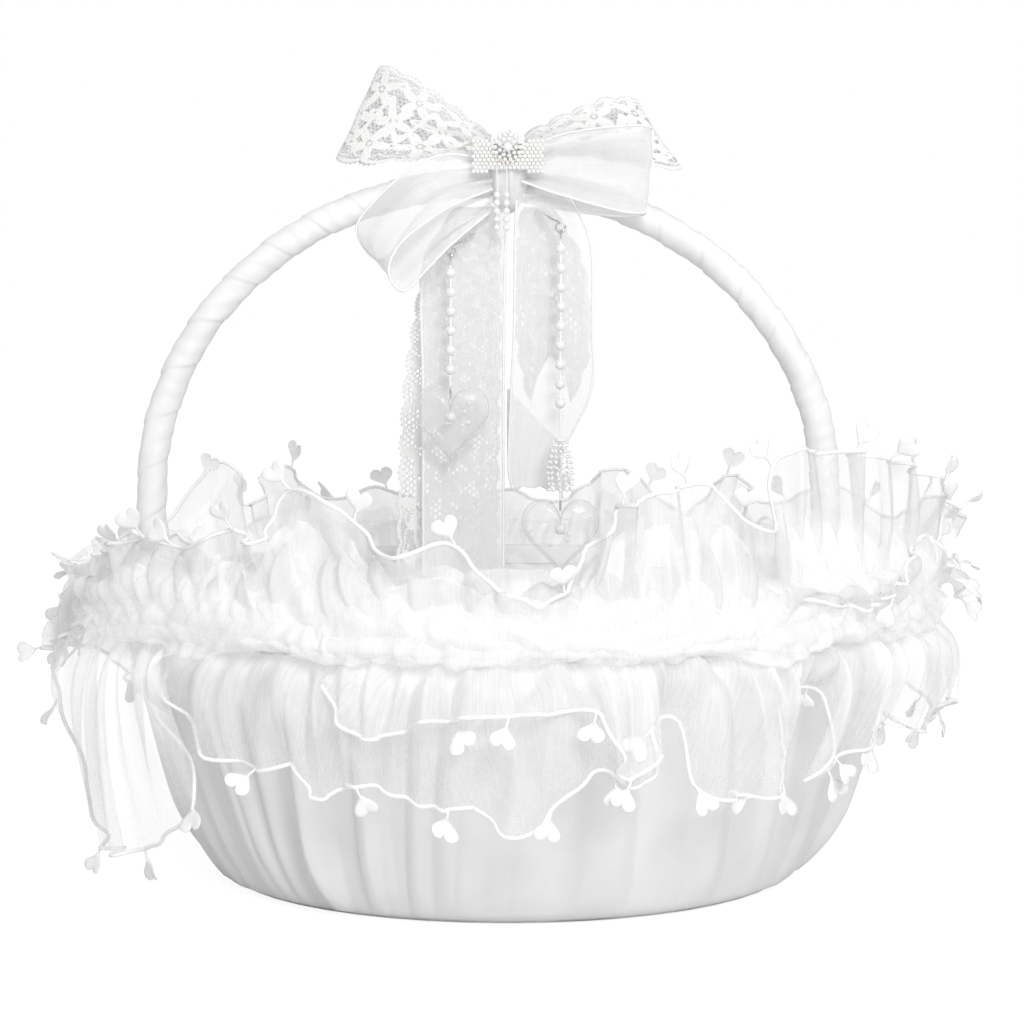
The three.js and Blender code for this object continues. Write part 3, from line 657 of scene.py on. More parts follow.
def build_handle():
    """Ribbon wound round the handle: each turn laps the one before it, with small puckers and lumps."""
    path, length = handle_path()
    _, first, second = frames_along(path)
    sides = 56
    along = np.linspace(0, length, len(path))[:, None]
    turn = (np.arange(sides) * 2 * math.pi / sides)[None, :]
    pitch = 17.0
    wander = 1.6 * np.sin(along / 31) + 1.1 * np.sin(along / 17 + 1)
    share = ((along + wander) / pitch - turn / (2 * math.pi)) % 1
    step = 0.5 * np.clip(share / 0.05, 0, 1) * (1 - share) ** 0.7
    pucker = 0.13 * np.sin(share * 15 + 2.2 * np.sin(turn + along / 11)) * np.sin(math.pi * share)
    lump = 0.12 * np.sin(along / 5.3 + 2 * turn) * np.sin(along / 12.7) + 0.1 * np.sin(3 * turn - along / 8)
    reach = HANDLE_WRAP_RADIUS - 0.1 + step + pucker + lump
    grid = path[:, None] + reach[..., None] * (first[:, None] * np.cos(turn)[..., None]
                                               + second[:, None] * np.sin(turn)[..., None])
    faces = capped_faces(len(path), sides)
    wrap = mesh_object("handle_ribbon_wrap", grid.reshape(-1, 3), faces, "ribbon_satin")
    on_root(wrap, "satin", "handle_wrap")
    for label, side in (("left", -1), ("right", 1)):
        for place, height in (("lower", 58), ("upper", 76)):
            build_tie(f"handle_tie_{label}_{place}", side, height)


def build_tie(node, side, height):
    """Three turns of cord round a handle leg, square to it."""
    _, _, centre = box_mm(node)
    radius = 6.15
    spread = 2.6
    lean = math.atan2(leg_x(side, height + 6) - leg_x(side, height - 6), 12)
    turns = np.linspace(0, 2 * math.pi * 3, 110)
    out, lift = radius * np.cos(turns), (turns / turns[-1] - 0.5) * spread
    x = out * math.cos(lean) + lift * math.sin(lean)
    z = -out * math.sin(lean) + lift * math.cos(lean)
    coil = np.stack([x, radius * np.sin(turns), z], -1) + centre
    on_root(tube_object(f"{node}_coil", coil, 0.45, 8, "cord_thread"), "satin", node)


# ---- ruffle ----
# A frill's hem: (place on the gather, hem's angle, hem's radius, hem's height), the angles in degrees.
STANDING_HEM = [
    (-178, -180, 148, 98), (-168, -170, 146, 104), (-160, -161, 144, 108), (-151, -153, 142, 113),
    (-143, -144, 142, 119), (-134, -134, 143, 117), (-126, -125, 144, 124), (-119, -120, 146, 122),
    (-114, -117, 144, 136), (-108, -110, 146, 133), (-103, -105, 148, 119), (-98, -97, 147, 122),
    (-91, -90, 147, 107), (-84.5, -84.5, 148, 106), (-80.5, -80.5, 147, 121), (-77, -77, 147, 131),
    (-70, -70, 143, 137), (-65, -65, 141, 138), (-60, -60, 142, 127), (-56, -54, 139, 124),
    (-52, -53, 136, 143), (-45, -44, 138, 146), (-37, -36, 139, 144), (-28, -27, 140, 141),
    (-18, -17, 143, 135), (-7, -5, 149, 126), (3, 4, 153, 120), (14, 14, 154, 124), (25, 24, 151, 114),
    (38, 38, 150, 124), (47, 50, 149, 116), (56, 55, 149, 126), (65, 64, 151, 112), (74, 73, 148, 127),
    (83, 83, 150, 114), (92, 92, 150, 118), (101, 101, 151, 109), (110, 110, 150, 120),
    (118, 117, 152, 115), (126, 127, 146, 129), (131, 131, 147, 115), (138, 137, 145, 132),
    (146, 146, 152, 110), (156, 155, 153, 106), (166, 167, 153, 97), (175, 175, 153, 90),
]
FLOPPED_HEM = [
    (-176, -177, 151, 74), (-168, -169, 147, 84), (-161, -160, 143, 93), (-154, -154, 142, 103),
    (-147, -147, 138, 116), (-140, -140, 131, 119), (-131, -131, 129, 112), (-122, -122, 128, 117),
    (-113, -113, 128, 122), (-104, -104, 128, 114), (-96, -96, 128, 106), (-88, -88, 128, 101),
    (-80, -80, 128, 113), (-72, -72, 128, 124), (-65, -65, 131, 126), (-60, -60, 137, 122),
    (-55, -56, 143, 110), (-47, -47, 147, 101), (-39, -40, 148, 100), (-31, -30, 146, 108),
    (-24, -22, 144, 117), (-16, -16, 148, 108), (-8, -8, 153, 98), (0, 1, 157, 94), (9, 9, 158, 103),
    (19, 19, 154, 96), (30, 29, 152, 108), (41, 42, 153, 99), (53, 52, 151, 110), (65, 66, 153, 100),
    (77, 76, 151, 108), (89, 90, 153, 98), (101, 100, 151, 108), (113, 114, 153, 100), (125, 124, 151, 112),
    (137, 138, 152, 100), (149, 149, 153, 98), (160, 160, 154, 86), (172, 171, 155, 75),
]
HANGING_HEM = [
    (-180, -180, 154, 76), (-171, -170, 150, 66), (-165, -163, 146, 38), (-161, -159, 144, 25),
    (-152, -150, 141, 18.5), (-145, -140, 140, 27), (-141, -133.5, 139, 41), (-138, -138, 138, 58),
    (-135, -142, 139, 74), (-131, -138, 142, 75), (-127, -130, 142, 57), (-122, -123, 142, 53),
    (-116, -116, 142, 55), (-111, -113, 141, 46), (-106, -108, 142, 51), (-101, -101, 143, 46),
    (-96, -95, 144, 44), (-91, -89, 146, 38), (-86, -84.5, 145, 46), (-81, -79, 144, 56),
    (-76.5, -75, 144, 50), (-73, -72, 143, 55), (-70, -73, 144, 69), (-67, -69, 144, 68),
    (-64, -67, 142, 50), (-60, -62, 143, 45), (-56, -57, 142, 45), (-53, -53, 141, 53),
    (-50.5, -54, 141, 70), (-48, -51, 141, 76), (-45.5, -46, 140, 71), (-43.5, -45, 140, 57),
    (-41, -48, 139, 46), (-37, -43, 140, 50), (-32, -37, 140, 55), (-25, -29, 140, 60), (-17, -17, 141, 53),
    (-8, -5, 147, 56), (0, 2, 151, 57), (10, 11, 151, 48), (20, 19, 150, 57), (31, 33, 149, 44),
    (43, 42, 148, 55), (55, 57, 148, 43), (67, 66, 147, 54), (79, 81, 148, 42), (91, 90, 147, 53),
    (103, 105, 148, 43), (115, 114, 147, 55), (127, 129, 149, 42), (139, 138, 150, 54), (151, 153, 151, 52),
    (162, 161, 152, 68), (171, 171, 154, 73),
]
FLAP_HEM = [
    (-108, -112, 146, 80), (-104, -107, 151, 66), (-99, -99, 154, 71), (-93, -93, 155, 73),
    (-87, -86, 155, 74), (-82, -80, 155, 73), (-79, -77.5, 152, 60), (-76, -76, 150, 53),
    (-73, -72, 145, 60),
]


# The heights of a frill's folds, from the tight pleats at its gather to the loose ones at its hem.
FINE_PLEAT = 1.1
MIDDLE_FOLD = 2.2
LOOSE_FOLD = 4.6
CRUMPLE = 0.7


def bend(start, handle, end, v):
    """A quadratic curve's place at v, and how fast it goes there."""
    place = (1 - v) ** 2 * start + 2 * v * (1 - v) * handle + v ** 2 * end
    return place, 2 * (1 - v) * (handle - start) + 2 * v * (end - handle)


def frill_grid(hem, root_height, leave, columns, rows, seed, size=1.0, closed=True):
    """The frill's points: fine pleats at the gather that open into loose folds at the hem.

    leave is how far out and up the cloth goes before it turns towards its hem, and size scales the folds."""
    hem = np.array(hem, float)
    if closed:
        at = np.linspace(-180, 180, columns, endpoint=False)
    else:
        at = np.linspace(hem[0, 0], hem[-1, 0], columns)
    shape = hem[:, 1:].copy()
    shape[:, 0] -= hem[:, 0]
    drift, hem_radius, hem_height = hermite(hem[:, 0], shape, at, period=360 if closed else None).T
    root = np.radians(at)
    fine = wobble(root, (228, 251, 274), seed)
    lean = 0.1 * wobble(root, (5, 9, 14), seed + 5)
    share = 0.8 + 0.5 * wobble(root, (7, 12, 19), seed + 6)
    slide = np.cos(47 * root + seed) * 0.6
    leave_out, leave_up = (way(root) if callable(way) else way for way in leave)
    falls = np.where(np.asarray(leave_up) >= 0, 1, -1)
    draw = random.Random(seed + 3)
    crumple = [(draw.randint(18, 90), draw.uniform(-5, 5), draw.uniform(0, 6.28)) for _ in range(8)]
    grid = []
    for v in np.linspace(0, 1, rows) ** 1.15:
        radius, out = bend(GATHER_RADIUS, GATHER_RADIUS + leave_out, hem_radius, v)
        height, up = bend(root_height, root_height + leave_up, hem_height, v)
        slope = np.hypot(out, up)
        middle = wobble(root + lean * v, (83, 97, 109), seed + 1)
        loose = wobble(root + lean * v, (31, 43, 59), seed + 2) * share
        fold = (fine * FINE_PLEAT * math.exp(-v / 0.16) * (v > 0) + loose * LOOSE_FOLD * v ** 1.1
                + middle * MIDDLE_FOLD * math.sin(math.pi * min(1, v * 0.85 + 0.05)) ** 1.2)
        small = sum(np.sin(count * root + rise * v + phase) for count, rise, phase in crumple)
        fold = size * (fold + CRUMPLE * math.sin(math.pi * min(1, v * 0.8 + 0.04)) * small)
        radius = np.maximum(radius + fold * up / slope * falls, GATHER_RADIUS - 1.0 + 1.5 * v)
        height = height - fold * out / slope * falls * 0.8
        angle = root + np.radians(drift) * v ** 1.2 + slide * size * v * MIDDLE_FOLD * middle / hem_radius
        grid.append(polar(radius, angle, height))
    return np.array(grid)


def in_front(root):
    """1 at the front, a little to the left, and 0 at the sides and back, by the angle in radians."""
    return np.exp((np.cos(root - math.radians(-100)) - 1) / 0.22)


def heart_outline(width, per_side):
    points = []
    for i in range(2 * per_side):
        t = math.pi * i / per_side
        rise = 13 * math.cos(t) - 5 * math.cos(2 * t) - 2 * math.cos(3 * t) - math.cos(4 * t)
        points.append((width / 2 * math.sin(t) ** 3, width / 32 * rise))
    return np.array(points)


def petal_parts(place, away, face, width):
    """A die-cut cloth heart: its point is at a short stem, and its lobes stand away from the hem."""
    away = away / np.linalg.norm(away)
    along = np.cross(away, face)
    along /= np.linalg.norm(along)
    face = np.cross(along, away)
    outline = heart_outline(width, 14)
    stem = 2.2
    thick = 0.35
    rings = []
    for scale, crown in ((1.0, 0.0), (0.96, 0.22), (0.62, 0.45), (0.25, 0.55)):
        cup = 0.9 * (outline[:, 0] * scale / width * 2) ** 2
        flat = outline * scale
        rings.append(place + np.outer(flat[:, 0], along) + np.outer(flat[:, 1] + width * 0.53 + stem, away)
                     + np.outer(cup + crown, face))
    back = [ring - face * thick * (1 if i else 0.6) for i, ring in enumerate(rings)]
    count = len(outline)
    points = np.concatenate(rings + back[::-1])
    faces = grid_faces(8, count, wrap_columns=True)
    faces = [f for f in faces if not (f[0] // count == 3 and f[1] // count == 4)]
    faces.append([3 * count + i for i in range(count)])
    faces.append([4 * count + i for i in range(count)][::-1])
    rim = [[7 * count + i, i, (i + 1) % count, 7 * count + (i + 1) % count] for i in range(count)]
    stalk = open_tube(np.array([place, place + away * (stem + 1.6) + face * 0.3]), 0.4, 6)
    return [(points, faces + rim), stalk]


def hem_petals(name, grid, shares, nodes=()):
    """Petals that stand off a frill's hem, at shares of its length."""
    edge, before = grid[-1], grid[-3]
    parts = []
    for share in shares:
        i = int(share * len(edge)) % len(edge)
        place = edge[i]
        away = place - before[i]
        away /= np.linalg.norm(away)
        radial = np.array([place[0], place[1], 0]) / math.hypot(place[0], place[1])
        stray = [rng.uniform(-0.7, 0.7), rng.uniform(-0.5, 0.5), rng.uniform(-0.35, 0.55)]
        away = away * 0.8 + radial * 0.25 + np.array(stray)
        face = radial + np.array([rng.uniform(-0.5, 0.5), rng.uniform(-0.6, 0.1), rng.uniform(-0.3, 0.5)])
        start = place + away / np.linalg.norm(away) * 0.5
        parts += petal_parts(start, away, face, PETAL_WIDTH * rng.uniform(0.9, 1.08))
    on_root(joined(name, parts, "petal_cloth"), "petal_satin", *nodes)


def frill_piece(name, hem, root_height, leave, seed, replaced, size=1.0, columns=1440, rows=30,
                cloth="organza_frill"):
    grid = frill_grid(hem, root_height, leave, columns, rows, seed, size)
    piece = grid_object(name, grid, cloth, wrap_columns=True)
    on_root(piece, "organza", *replaced)
    return grid


def edge_cord(name, grid, *replaced):
    hem = grid[-1]
    away = hem - grid[-2]
    away /= np.linalg.norm(away, axis=1)[:, None]
    path = (hem + away * EDGE_CORD_RADIUS * 0.6)[::2]
    cord = tube_object(name, path, EDGE_CORD_RADIUS, 8, "cord_thread", closed=True)
    on_root(cord, "satin", *replaced)


# The petals' places on each frill: angles in degrees at the gather.
PETALS_STANDING = [
    -160, -150, -143, -137, -126, -113, -106, -97, -84, -76, -68, -61, -52, -41, -33, -24, -14, -3, 6, 17,
    30, 44, 57, 70, 82, 96, 108, 117, 124, 133, 141, 152, 165, 176,
]
PETALS_FLOPPED = [
    -172, -158, -150, -44, -36, -20, -11, -4, 3, 12, 26, 48, 73, 99, 121, 144, 168,
]
PETALS_HANGING = [
    -179, -170, -157, -149, -141, -137, -121, -106, -97, -86, -79, -70, -64, -57, -54, -47, -43, -38, -31,
    -24, -14, -4, 5, 16, 33, 50, 68, 84, 103, 121, 138, 155, 170,
]
# The standing frill's inner layers: (inward, lower, seed).
FLUFFS = ((3, 6, 81), (0, 9, 91))
# The loose cloth between the frills: (how far up it leaves, its hem's height, flat depth, seed).
PUFFS = ((-3, 99, 0.026, 101), (0, 102, 0.026, 111), (4, 104, 0.027, 121), (8, 107, 0.028, 131),
         (13, 110, 0.03, 141), (19, 114, 0.032, 151))


def build_fluff(layer, inward, lower, seed):
    hem = [(a, b, r - inward, z - lower - (12 if -58 < a < -15 else 0)) for a, b, r, z in STANDING_HEM]
    frill_piece(f"ruffle_fluff_{layer + 1}", hem, GATHER_HEIGHT + 1.2, (13 + 2 * layer, 16), seed, [],
                size=0.75, cloth="organza_fluff")


def build_puff(layer, up, top, depth, seed):
    def leave_out(root):
        return 20 + 13 * in_front(root) + 3 * wobble(root, (7, 11, 16), seed)

    def leave_up(root):
        return up + 5 * wobble(root, (9, 14, 19), seed)

    hem = []
    for angle in range(-178, 180, 8):
        off_front = 1 - in_front(math.radians(angle))
        hem.append((angle, angle, 130 + 12 * off_front, top - 6 * off_front))
    frill_piece(f"ruffle_puff_{layer + 1}", hem, GATHER_HEIGHT + 0.4, (leave_out, leave_up), seed, [],
                size=0.34, columns=1080, rows=20, cloth="organza_puff")


def build_ruffle():
    standing = frill_piece("ruffle_standing", STANDING_HEM, GATHER_HEIGHT + 1.6, (11, 17), 31,
                           ["ruffle_upper"])
    edge_cord("edge_cord_standing", standing, "edge_cord_upper")
    leave = (lambda root: 16 + 18 * in_front(root), lambda root: 20 + 14 * in_front(root))
    flopped = frill_piece("ruffle_flopped", FLOPPED_HEM, GATHER_HEIGHT + 0.8, leave, 41, [])
    edge_cord("edge_cord_flopped", flopped)
    for layer, facts in enumerate(FLUFFS):
        build_fluff(layer, *facts)
    for layer, facts in enumerate(PUFFS):
        build_puff(layer, *facts)
    hanging = frill_piece("ruffle_hanging", HANGING_HEM, GATHER_HEIGHT - 0.8, (21, 2), 51, ["ruffle_lower"],
                          cloth="organza_lower")
    edge_cord("edge_cord_hanging", hanging, "edge_cord_lower")

    flap = frill_grid(FLAP_HEM, GATHER_HEIGHT - 0.8, (18, 1), 180, 26, 61, closed=False)
    piece = grid_object("ruffle_flap", flap, "organza_lower")
    on_root(piece, "organza")
    on_root(tube_object("edge_cord_flap", flap[-1], EDGE_CORD_RADIUS, 8, "cord_thread"), "satin")

    petals = (("standing", standing, PETALS_STANDING, [f"petal_upper_{i}" for i in range(1, 7)]),
              ("flopped", flopped, PETALS_FLOPPED, []),
              ("hanging", hanging, PETALS_HANGING, [f"petal_lower_{i}" for i in range(1, 5)]))
    for layer, grid, angles, nodes in petals:
        hem_petals(f"petals_{layer}", grid, [((a + 180) % 360) / 360 for a in angles], nodes)
    hem_petals("petals_flap", flap, [0.32, 0.5, 0.72, 0.93])
    build_gather_band()


STITCH_HEIGHTS = (85.2, 88.8)
STITCHES_PER_ROW = 210


def build_gather_band():
    """The band that holds the frills: a strip drawn into fine tucks by two rows of running stitch."""
    angle = round_angles(1440)
    tucks = wobble(angle, (205, 231, 263), 71)
    rows = []
    for height in np.linspace(83.2, 90.8, 15):
        pinch = min(abs(height - row) for row in STITCH_HEIGHTS)
        stand = 0.9 + min(1.0, pinch * 0.7) * (0.8 + 0.6 * tucks)
        rows.append(polar(wall_radius(height) + stand, angle, height))
    band = grid_object("gather_strip", np.array(rows), "organza_ribbon", wrap_columns=True)
    on_root(band, "organza", "gather_band")
    stitches = []
    reach = 0.62 * math.pi / STITCHES_PER_ROW
    shape = ((-reach, 0.9), (-reach * 0.6, 1.45), (reach * 0.6, 1.45), (reach, 0.9))
    for height in STITCH_HEIGHTS:
        for i in range(STITCHES_PER_ROW):
            middle = 2 * math.pi * i / STITCHES_PER_ROW
            points = [polar(wall_radius(height) + lift, np.array(middle + turn), height)
                      for turn, lift in shape]
            stitches.append(open_tube(np.array(points), 0.22, 6))
    on_root(joined("gather_stitches", stitches, "cord_thread"), "thread")


# ---- bow ----
SCALLOP_PITCH = 9.5
FLOWER_STEP = 15.0


def ribbon_grid(stations, rows, columns, curl=0.0, crease=0.0, seed=1):
    """A ribbon through stations [x, y, z, half width, tilt from X towards Z in degrees, depth share]."""
    filled = [list(s) + [0] * (6 - len(s)) for s in stations]
    knots = np.arange(len(filled))
    at = np.linspace(0, len(filled) - 1, rows)
    centre = hermite(knots, [s[:3] for s in filled], at)
    reach = []
    for _, _, _, half, tilt, depth in filled:
        flat = math.sqrt(1 - depth * depth)
        angle = math.radians(tilt)
        reach.append((half * math.cos(angle) * flat, half * depth, half * math.sin(angle) * flat))
    reach = hermite(knots, reach, at)
    ahead = np.gradient(centre, axis=0)
    ahead /= np.linalg.norm(ahead, axis=1)[:, None]
    normal = np.cross(ahead, reach)
    normal /= np.linalg.norm(normal, axis=1)[:, None]
    across = np.linspace(-1, 1, columns)
    grid = centre[:, None] + reach[:, None] * across[None, :, None]
    half = np.linalg.norm(reach, axis=1)
    draw = random.Random(seed)
    phase = [draw.uniform(0, 6.28) for _ in range(4)]
    tight = np.clip(1 - half / half.max(), 0, 1)[:, None]
    s = way_along(centre)[:, None]
    lift = (curl * (across[None, :] ** 2 - 0.4)
            + crease * np.sin(across[None, :] * 7 + s / 18 + phase[0]) * (0.25 + tight * 1.2)
            + crease * 0.8 * np.sin(s / 9 + across[None, :] * 2.2 + phase[1]) * (1 - tight)
            + crease * 0.5 * np.sin(across[None, :] * 13 + phase[2]) * tight * 2)
    return grid + normal[:, None] * lift[..., None]


def scallop_wave(along):
    return np.abs(np.sin(math.pi * along / SCALLOP_PITCH)) ** 0.6


def scalloped(grid, depth=1.6):
    """The ribbon's two edges cut into scallops, by moving the columns next to each edge."""
    centre = grid[:, grid.shape[1] // 2]
    wave = scallop_wave(way_along(centre))
    cut = grid.copy()
    for j, across in enumerate(np.linspace(-1, 1, grid.shape[1])):
        edge = np.clip((abs(across) - 0.6) / 0.4, 0, 1)
        inward = (centre - grid[:, j])
        inward /= np.maximum(np.linalg.norm(inward, axis=1), 1e-6)[:, None]
        cut[:, j] += inward * ((1 - wave) * depth * edge)[:, None]
    return cut


def lace_motif(x, y, width, length):
    """The dense parts of the lace, 0 to 1: scalloped borders, a vine, and rows of five-petalled flowers."""
    wave = scallop_wave(y)
    from_edge = width / 2 - np.abs(x)
    border = np.clip(1 - np.abs(from_edge - 1.1) / 1.1, 0, 1)
    inner = np.clip(1 - np.abs(from_edge - 2.6 - 2.2 * (1 - wave)) / 0.7, 0, 1)
    dots = np.clip(1 - np.hypot((y / SCALLOP_PITCH % 1 - 0.5) * SCALLOP_PITCH, from_edge - 4.2) / 1.1, 0, 1)
    motif = np.maximum(np.maximum(border, inner * 0.9), dots)
    for k in range(int(length / FLOWER_STEP) + 2):
        for side, late in ((-1, 0.5), (0, 0.2), (1, 0.85)):
            dx = x - side * width * 0.27
            dy = y - ((k + late) * FLOWER_STEP - 4)
            spread = np.hypot(dx, dy)
            turn = np.arctan2(dy, dx) + side * 0.3 + k
            petal = 7.2 * (0.74 + 0.3 * np.cos(5 * turn))
            flower = np.clip((petal - spread) / 0.8, 0, 1) * np.clip((spread - 1.0) / 0.5, 0, 1)
            veins = np.clip(1 - np.abs(np.sin(5 * turn)) * spread / 1.1, 0, 1) * (spread < petal)
            motif = np.maximum(motif, flower - veins * 0.8)
            motif = np.maximum(motif, np.clip((0.9 - spread) / 0.4, 0, 1))
            leaf = np.hypot((dx - side * 2 - 1.4) / 1.5, (dy - 7.4) / 3.0)
            motif = np.maximum(motif, np.clip((1.1 - leaf) / 0.3, 0, 1) * (leaf > 0.35))
    vine = np.abs(x - width * 0.2 * np.sin(2 * math.pi * (y + 1) / FLOWER_STEP))
    motif = np.maximum(motif, np.clip((2.1 - vine) / 0.6, 0, 1))
    return np.clip(motif, 0, 1)


def lace_ribbon(node, stations, rows, columns, seed, crease=0.5, notch=0.0):
    """A scalloped lace ribbon; notch is how far up the middle of its last end is cut."""
    grid = scalloped(ribbon_grid(stations, rows, columns, 0.4, crease, seed))
    late = np.clip(np.linspace(-2, 1, rows), 0, 1)[:, None]
    grid[..., 2] += notch * late * (1 - np.abs(np.linspace(-1, 1, columns)) ** 1.3)[None, :]
    half = max(s[3] for s in stations)
    length = float(way_along(grid[:, columns // 2])[-1])
    y = np.linspace(0, length, rows)[:, None] + np.zeros((1, columns))
    x = np.linspace(-half, half, columns)[None, :] + np.zeros((rows, 1))
    piece = grid_object(f"{node}_cloth", grid, "lace_thread", uv=np.stack([x, y], -1).reshape(-1, 2))
    motif = lace_motif(x, y, 2 * half, length)
    attribute = piece.data.attributes.new("motif", "FLOAT", "POINT")
    attribute.data.foreach_set("value", motif.astype(np.float32).ravel())
    on_root(piece, "lace", node)


def organza_ribbon(node, stations, rows, columns, seed, crease=0.6, curl=0.6):
    """An organza ribbon with a wired edge on both sides."""
    grid = ribbon_grid(stations, rows, columns, curl, crease, seed)
    piece = grid_object(f"{node}_cloth", grid, "organza_ribbon")
    on_root(piece, "organza", node)
    edges = [open_tube(grid[:, column], WIRED_EDGE_RADIUS, 6) for column in (0, -1)]
    edge = joined(f"{node}_cloth_edge", edges, "cord_thread")
    on_root(edge, "organza")


# The ribbons' stations, as ribbon_grid reads them.
LACE_LOOP_LEFT = [
    (-6, -5, 243, 5, 80), (-24, -6, 249, 11, 68), (-41, -5.5, 253, 17, 64), (-50.5, 0, 255.5, 18, 63.5),
    (-41, 5.5, 253, 17, 64), (-24, 6, 250, 9, 68), (-6, 3, 245, 4, 80),
]
LACE_LOOP_RIGHT = [
    (6, -5, 243, 5, 100), (22, -6, 247.5, 8, 112), (40, -5.5, 248.5, 14, 121), (51, 0, 248, 14.5, 122),
    (40, 5.5, 249.5, 13, 120), (22, 6, 249, 7.5, 110), (6, 3, 245, 4, 100),
]
ORGANZA_LOOP_LEFT = [
    (-5, -11.5, 234.5, 5, 90), (-19, -14, 233, 9.5, 118, 0.5), (-31, -16.5, 226.5, 12.5, 144, 0.7),
    (-42.5, -17.5, 215.5, 13.5, 152, 0.76), (-44, -18.5, 207, 13.5, 140, 0.84),
    (-38, -18.5, 201, 13.5, 128, 0.88), (-29.8, -17, 209.5, 13, 122, 0.8), (-20, -14.5, 219, 10, 115, 0.65),
    (-5, -10.2, 226.2, 3.5, 90),
]
ORGANZA_LOOP_RIGHT = [
    (5, -11, 237, 5, 90), (18, -14, 237.5, 10, 88), (38, -17, 236, 14, 88), (47, -13.5, 235.5, 14, 88),
    (38, -9, 234, 13.5, 88), (18, -8.2, 233, 10, 88), (5, -8, 229.5, 4, 90),
]
ORGANZA_TAIL_LEFT = [
    (-8, -8.4, 223, 8, 0), (-14.5, -8.2, 205, 13.5, 0), (-15, -8, 165, 13.5, 0), (-15, -8, 130, 13.5, 0),
    (-15, -8, 98, 13.5, 0),
]
ORGANZA_TAIL_RIGHT = [
    (11, -8.6, 230, 8, 0), (15, -8.2, 212, 12.5, 0), (15.2, -8, 185, 13, 0), (14.6, -8, 163, 13.4, 0),
    (10.4, -6.8, 146, 10, 0), (8.4, -5.8, 135, 8, 0), (7.6, -4.9, 129.5, 6, 0), (8.2, -4, 135, 7.8, -5),
    (9.2, -3.4, 145, 9.5, -18), (8.2, -3, 154.5, 11.5, -46),
]
LACE_TAIL_LEFT = [
    (-11, 3, 224, 8, 0), (-15, 0.5, 205, 13.5, 0), (-17, -1, 185, 15.5, 0), (-19, -2, 160, 17, 0),
    (-20, -2.6, 130, 17.5, 0), (-20.5, -3, 96, 18, 0),
]
LACE_TAIL_RIGHT = [
    (10, 5.5, 224, 6, 0), (14, 3, 205, 12, 0), (15.5, 0.5, 178, 13, 0), (14.5, -0.5, 158, 8, 0),
]


def build_bow():
    lace_ribbon("lace_loop_left", LACE_LOOP_LEFT, 260, 72, 3)
    lace_ribbon("lace_loop_right", LACE_LOOP_RIGHT, 240, 60, 5)
    organza_ribbon("organza_loop_left", ORGANZA_LOOP_LEFT, 150, 40, 7, crease=0.9)
    organza_ribbon("organza_loop_right", ORGANZA_LOOP_RIGHT, 150, 40, 9, crease=0.9)
    organza_ribbon("organza_tail_left", ORGANZA_TAIL_LEFT, 120, 30, 11, crease=0.35, curl=0.3)
    organza_ribbon("organza_tail_right", ORGANZA_TAIL_RIGHT, 130, 30, 13, crease=0.45)
    lace_ribbon("lace_tail_left", LACE_TAIL_LEFT, 260, 72, 15, crease=0.3)
    lace_ribbon("lace_tail_right", LACE_TAIL_RIGHT, 150, 52, 17, crease=0.4, notch=16)
    build_knot()
    build_brooch()


def build_knot():
    """The organza round the bow's middle: a closed band with soft upright folds, pinched at its ends."""
    low, high, middle = box_mm("bow_knot")
    shorter = np.array((0, 0, 1.2))
    centre = middle - shorter
    wide, deep, tall = (high - low) / 2 - shorter
    wide += 0.4
    turn = round_angles(96)

    def ring(s, y_reach, z_reach):
        return np.stack([centre[0] + wide * s + 0 * turn, centre[1] + y_reach * np.cos(turn),
                         centre[2] + z_reach * np.sin(turn)], -1)

    rows = []
    for s in np.linspace(-1, 1, 25):
        bulge = 1 - 0.38 * s * s
        fold = 0.5 * np.sin(s * 8 + 0.9 * np.sin(turn)) + 0.3 * np.sin(s * 15 + 1.4 * np.cos(turn))
        rows.append(ring(s, deep * bulge + fold, tall * bulge + fold))
    for s, inset in ((1.0, 1.2), (0.97, 2.2)):
        rows.append(ring(s, deep * 0.9 - inset, tall * 0.9 - inset))
        rows.insert(0, ring(-s, deep * 0.9 - inset, tall * 0.9 - inset))
    knot = grid_object("bow_knot_wrap", np.array(rows), "organza_knot", wrap_columns=True)
    on_root(knot, "organza", "bow_knot")


PLATE_BEAD_PITCH = 1.42
PLATE_BEAD_RADIUS = 0.74
PLATE_DROP = 2.4


def bead_ring(centre, front, count, reach, size, detail, first=0.0):
    """Beads in an upright ring at Y = front; first is where the ring starts, in parts of its spacing."""
    turns = [2 * math.pi * (i + first) / count for i in range(count)]
    return [sphere_mesh((centre[0] + reach * math.cos(turn), front, centre[2] + reach * math.sin(turn)),
                        size, *detail) for turn in turns]


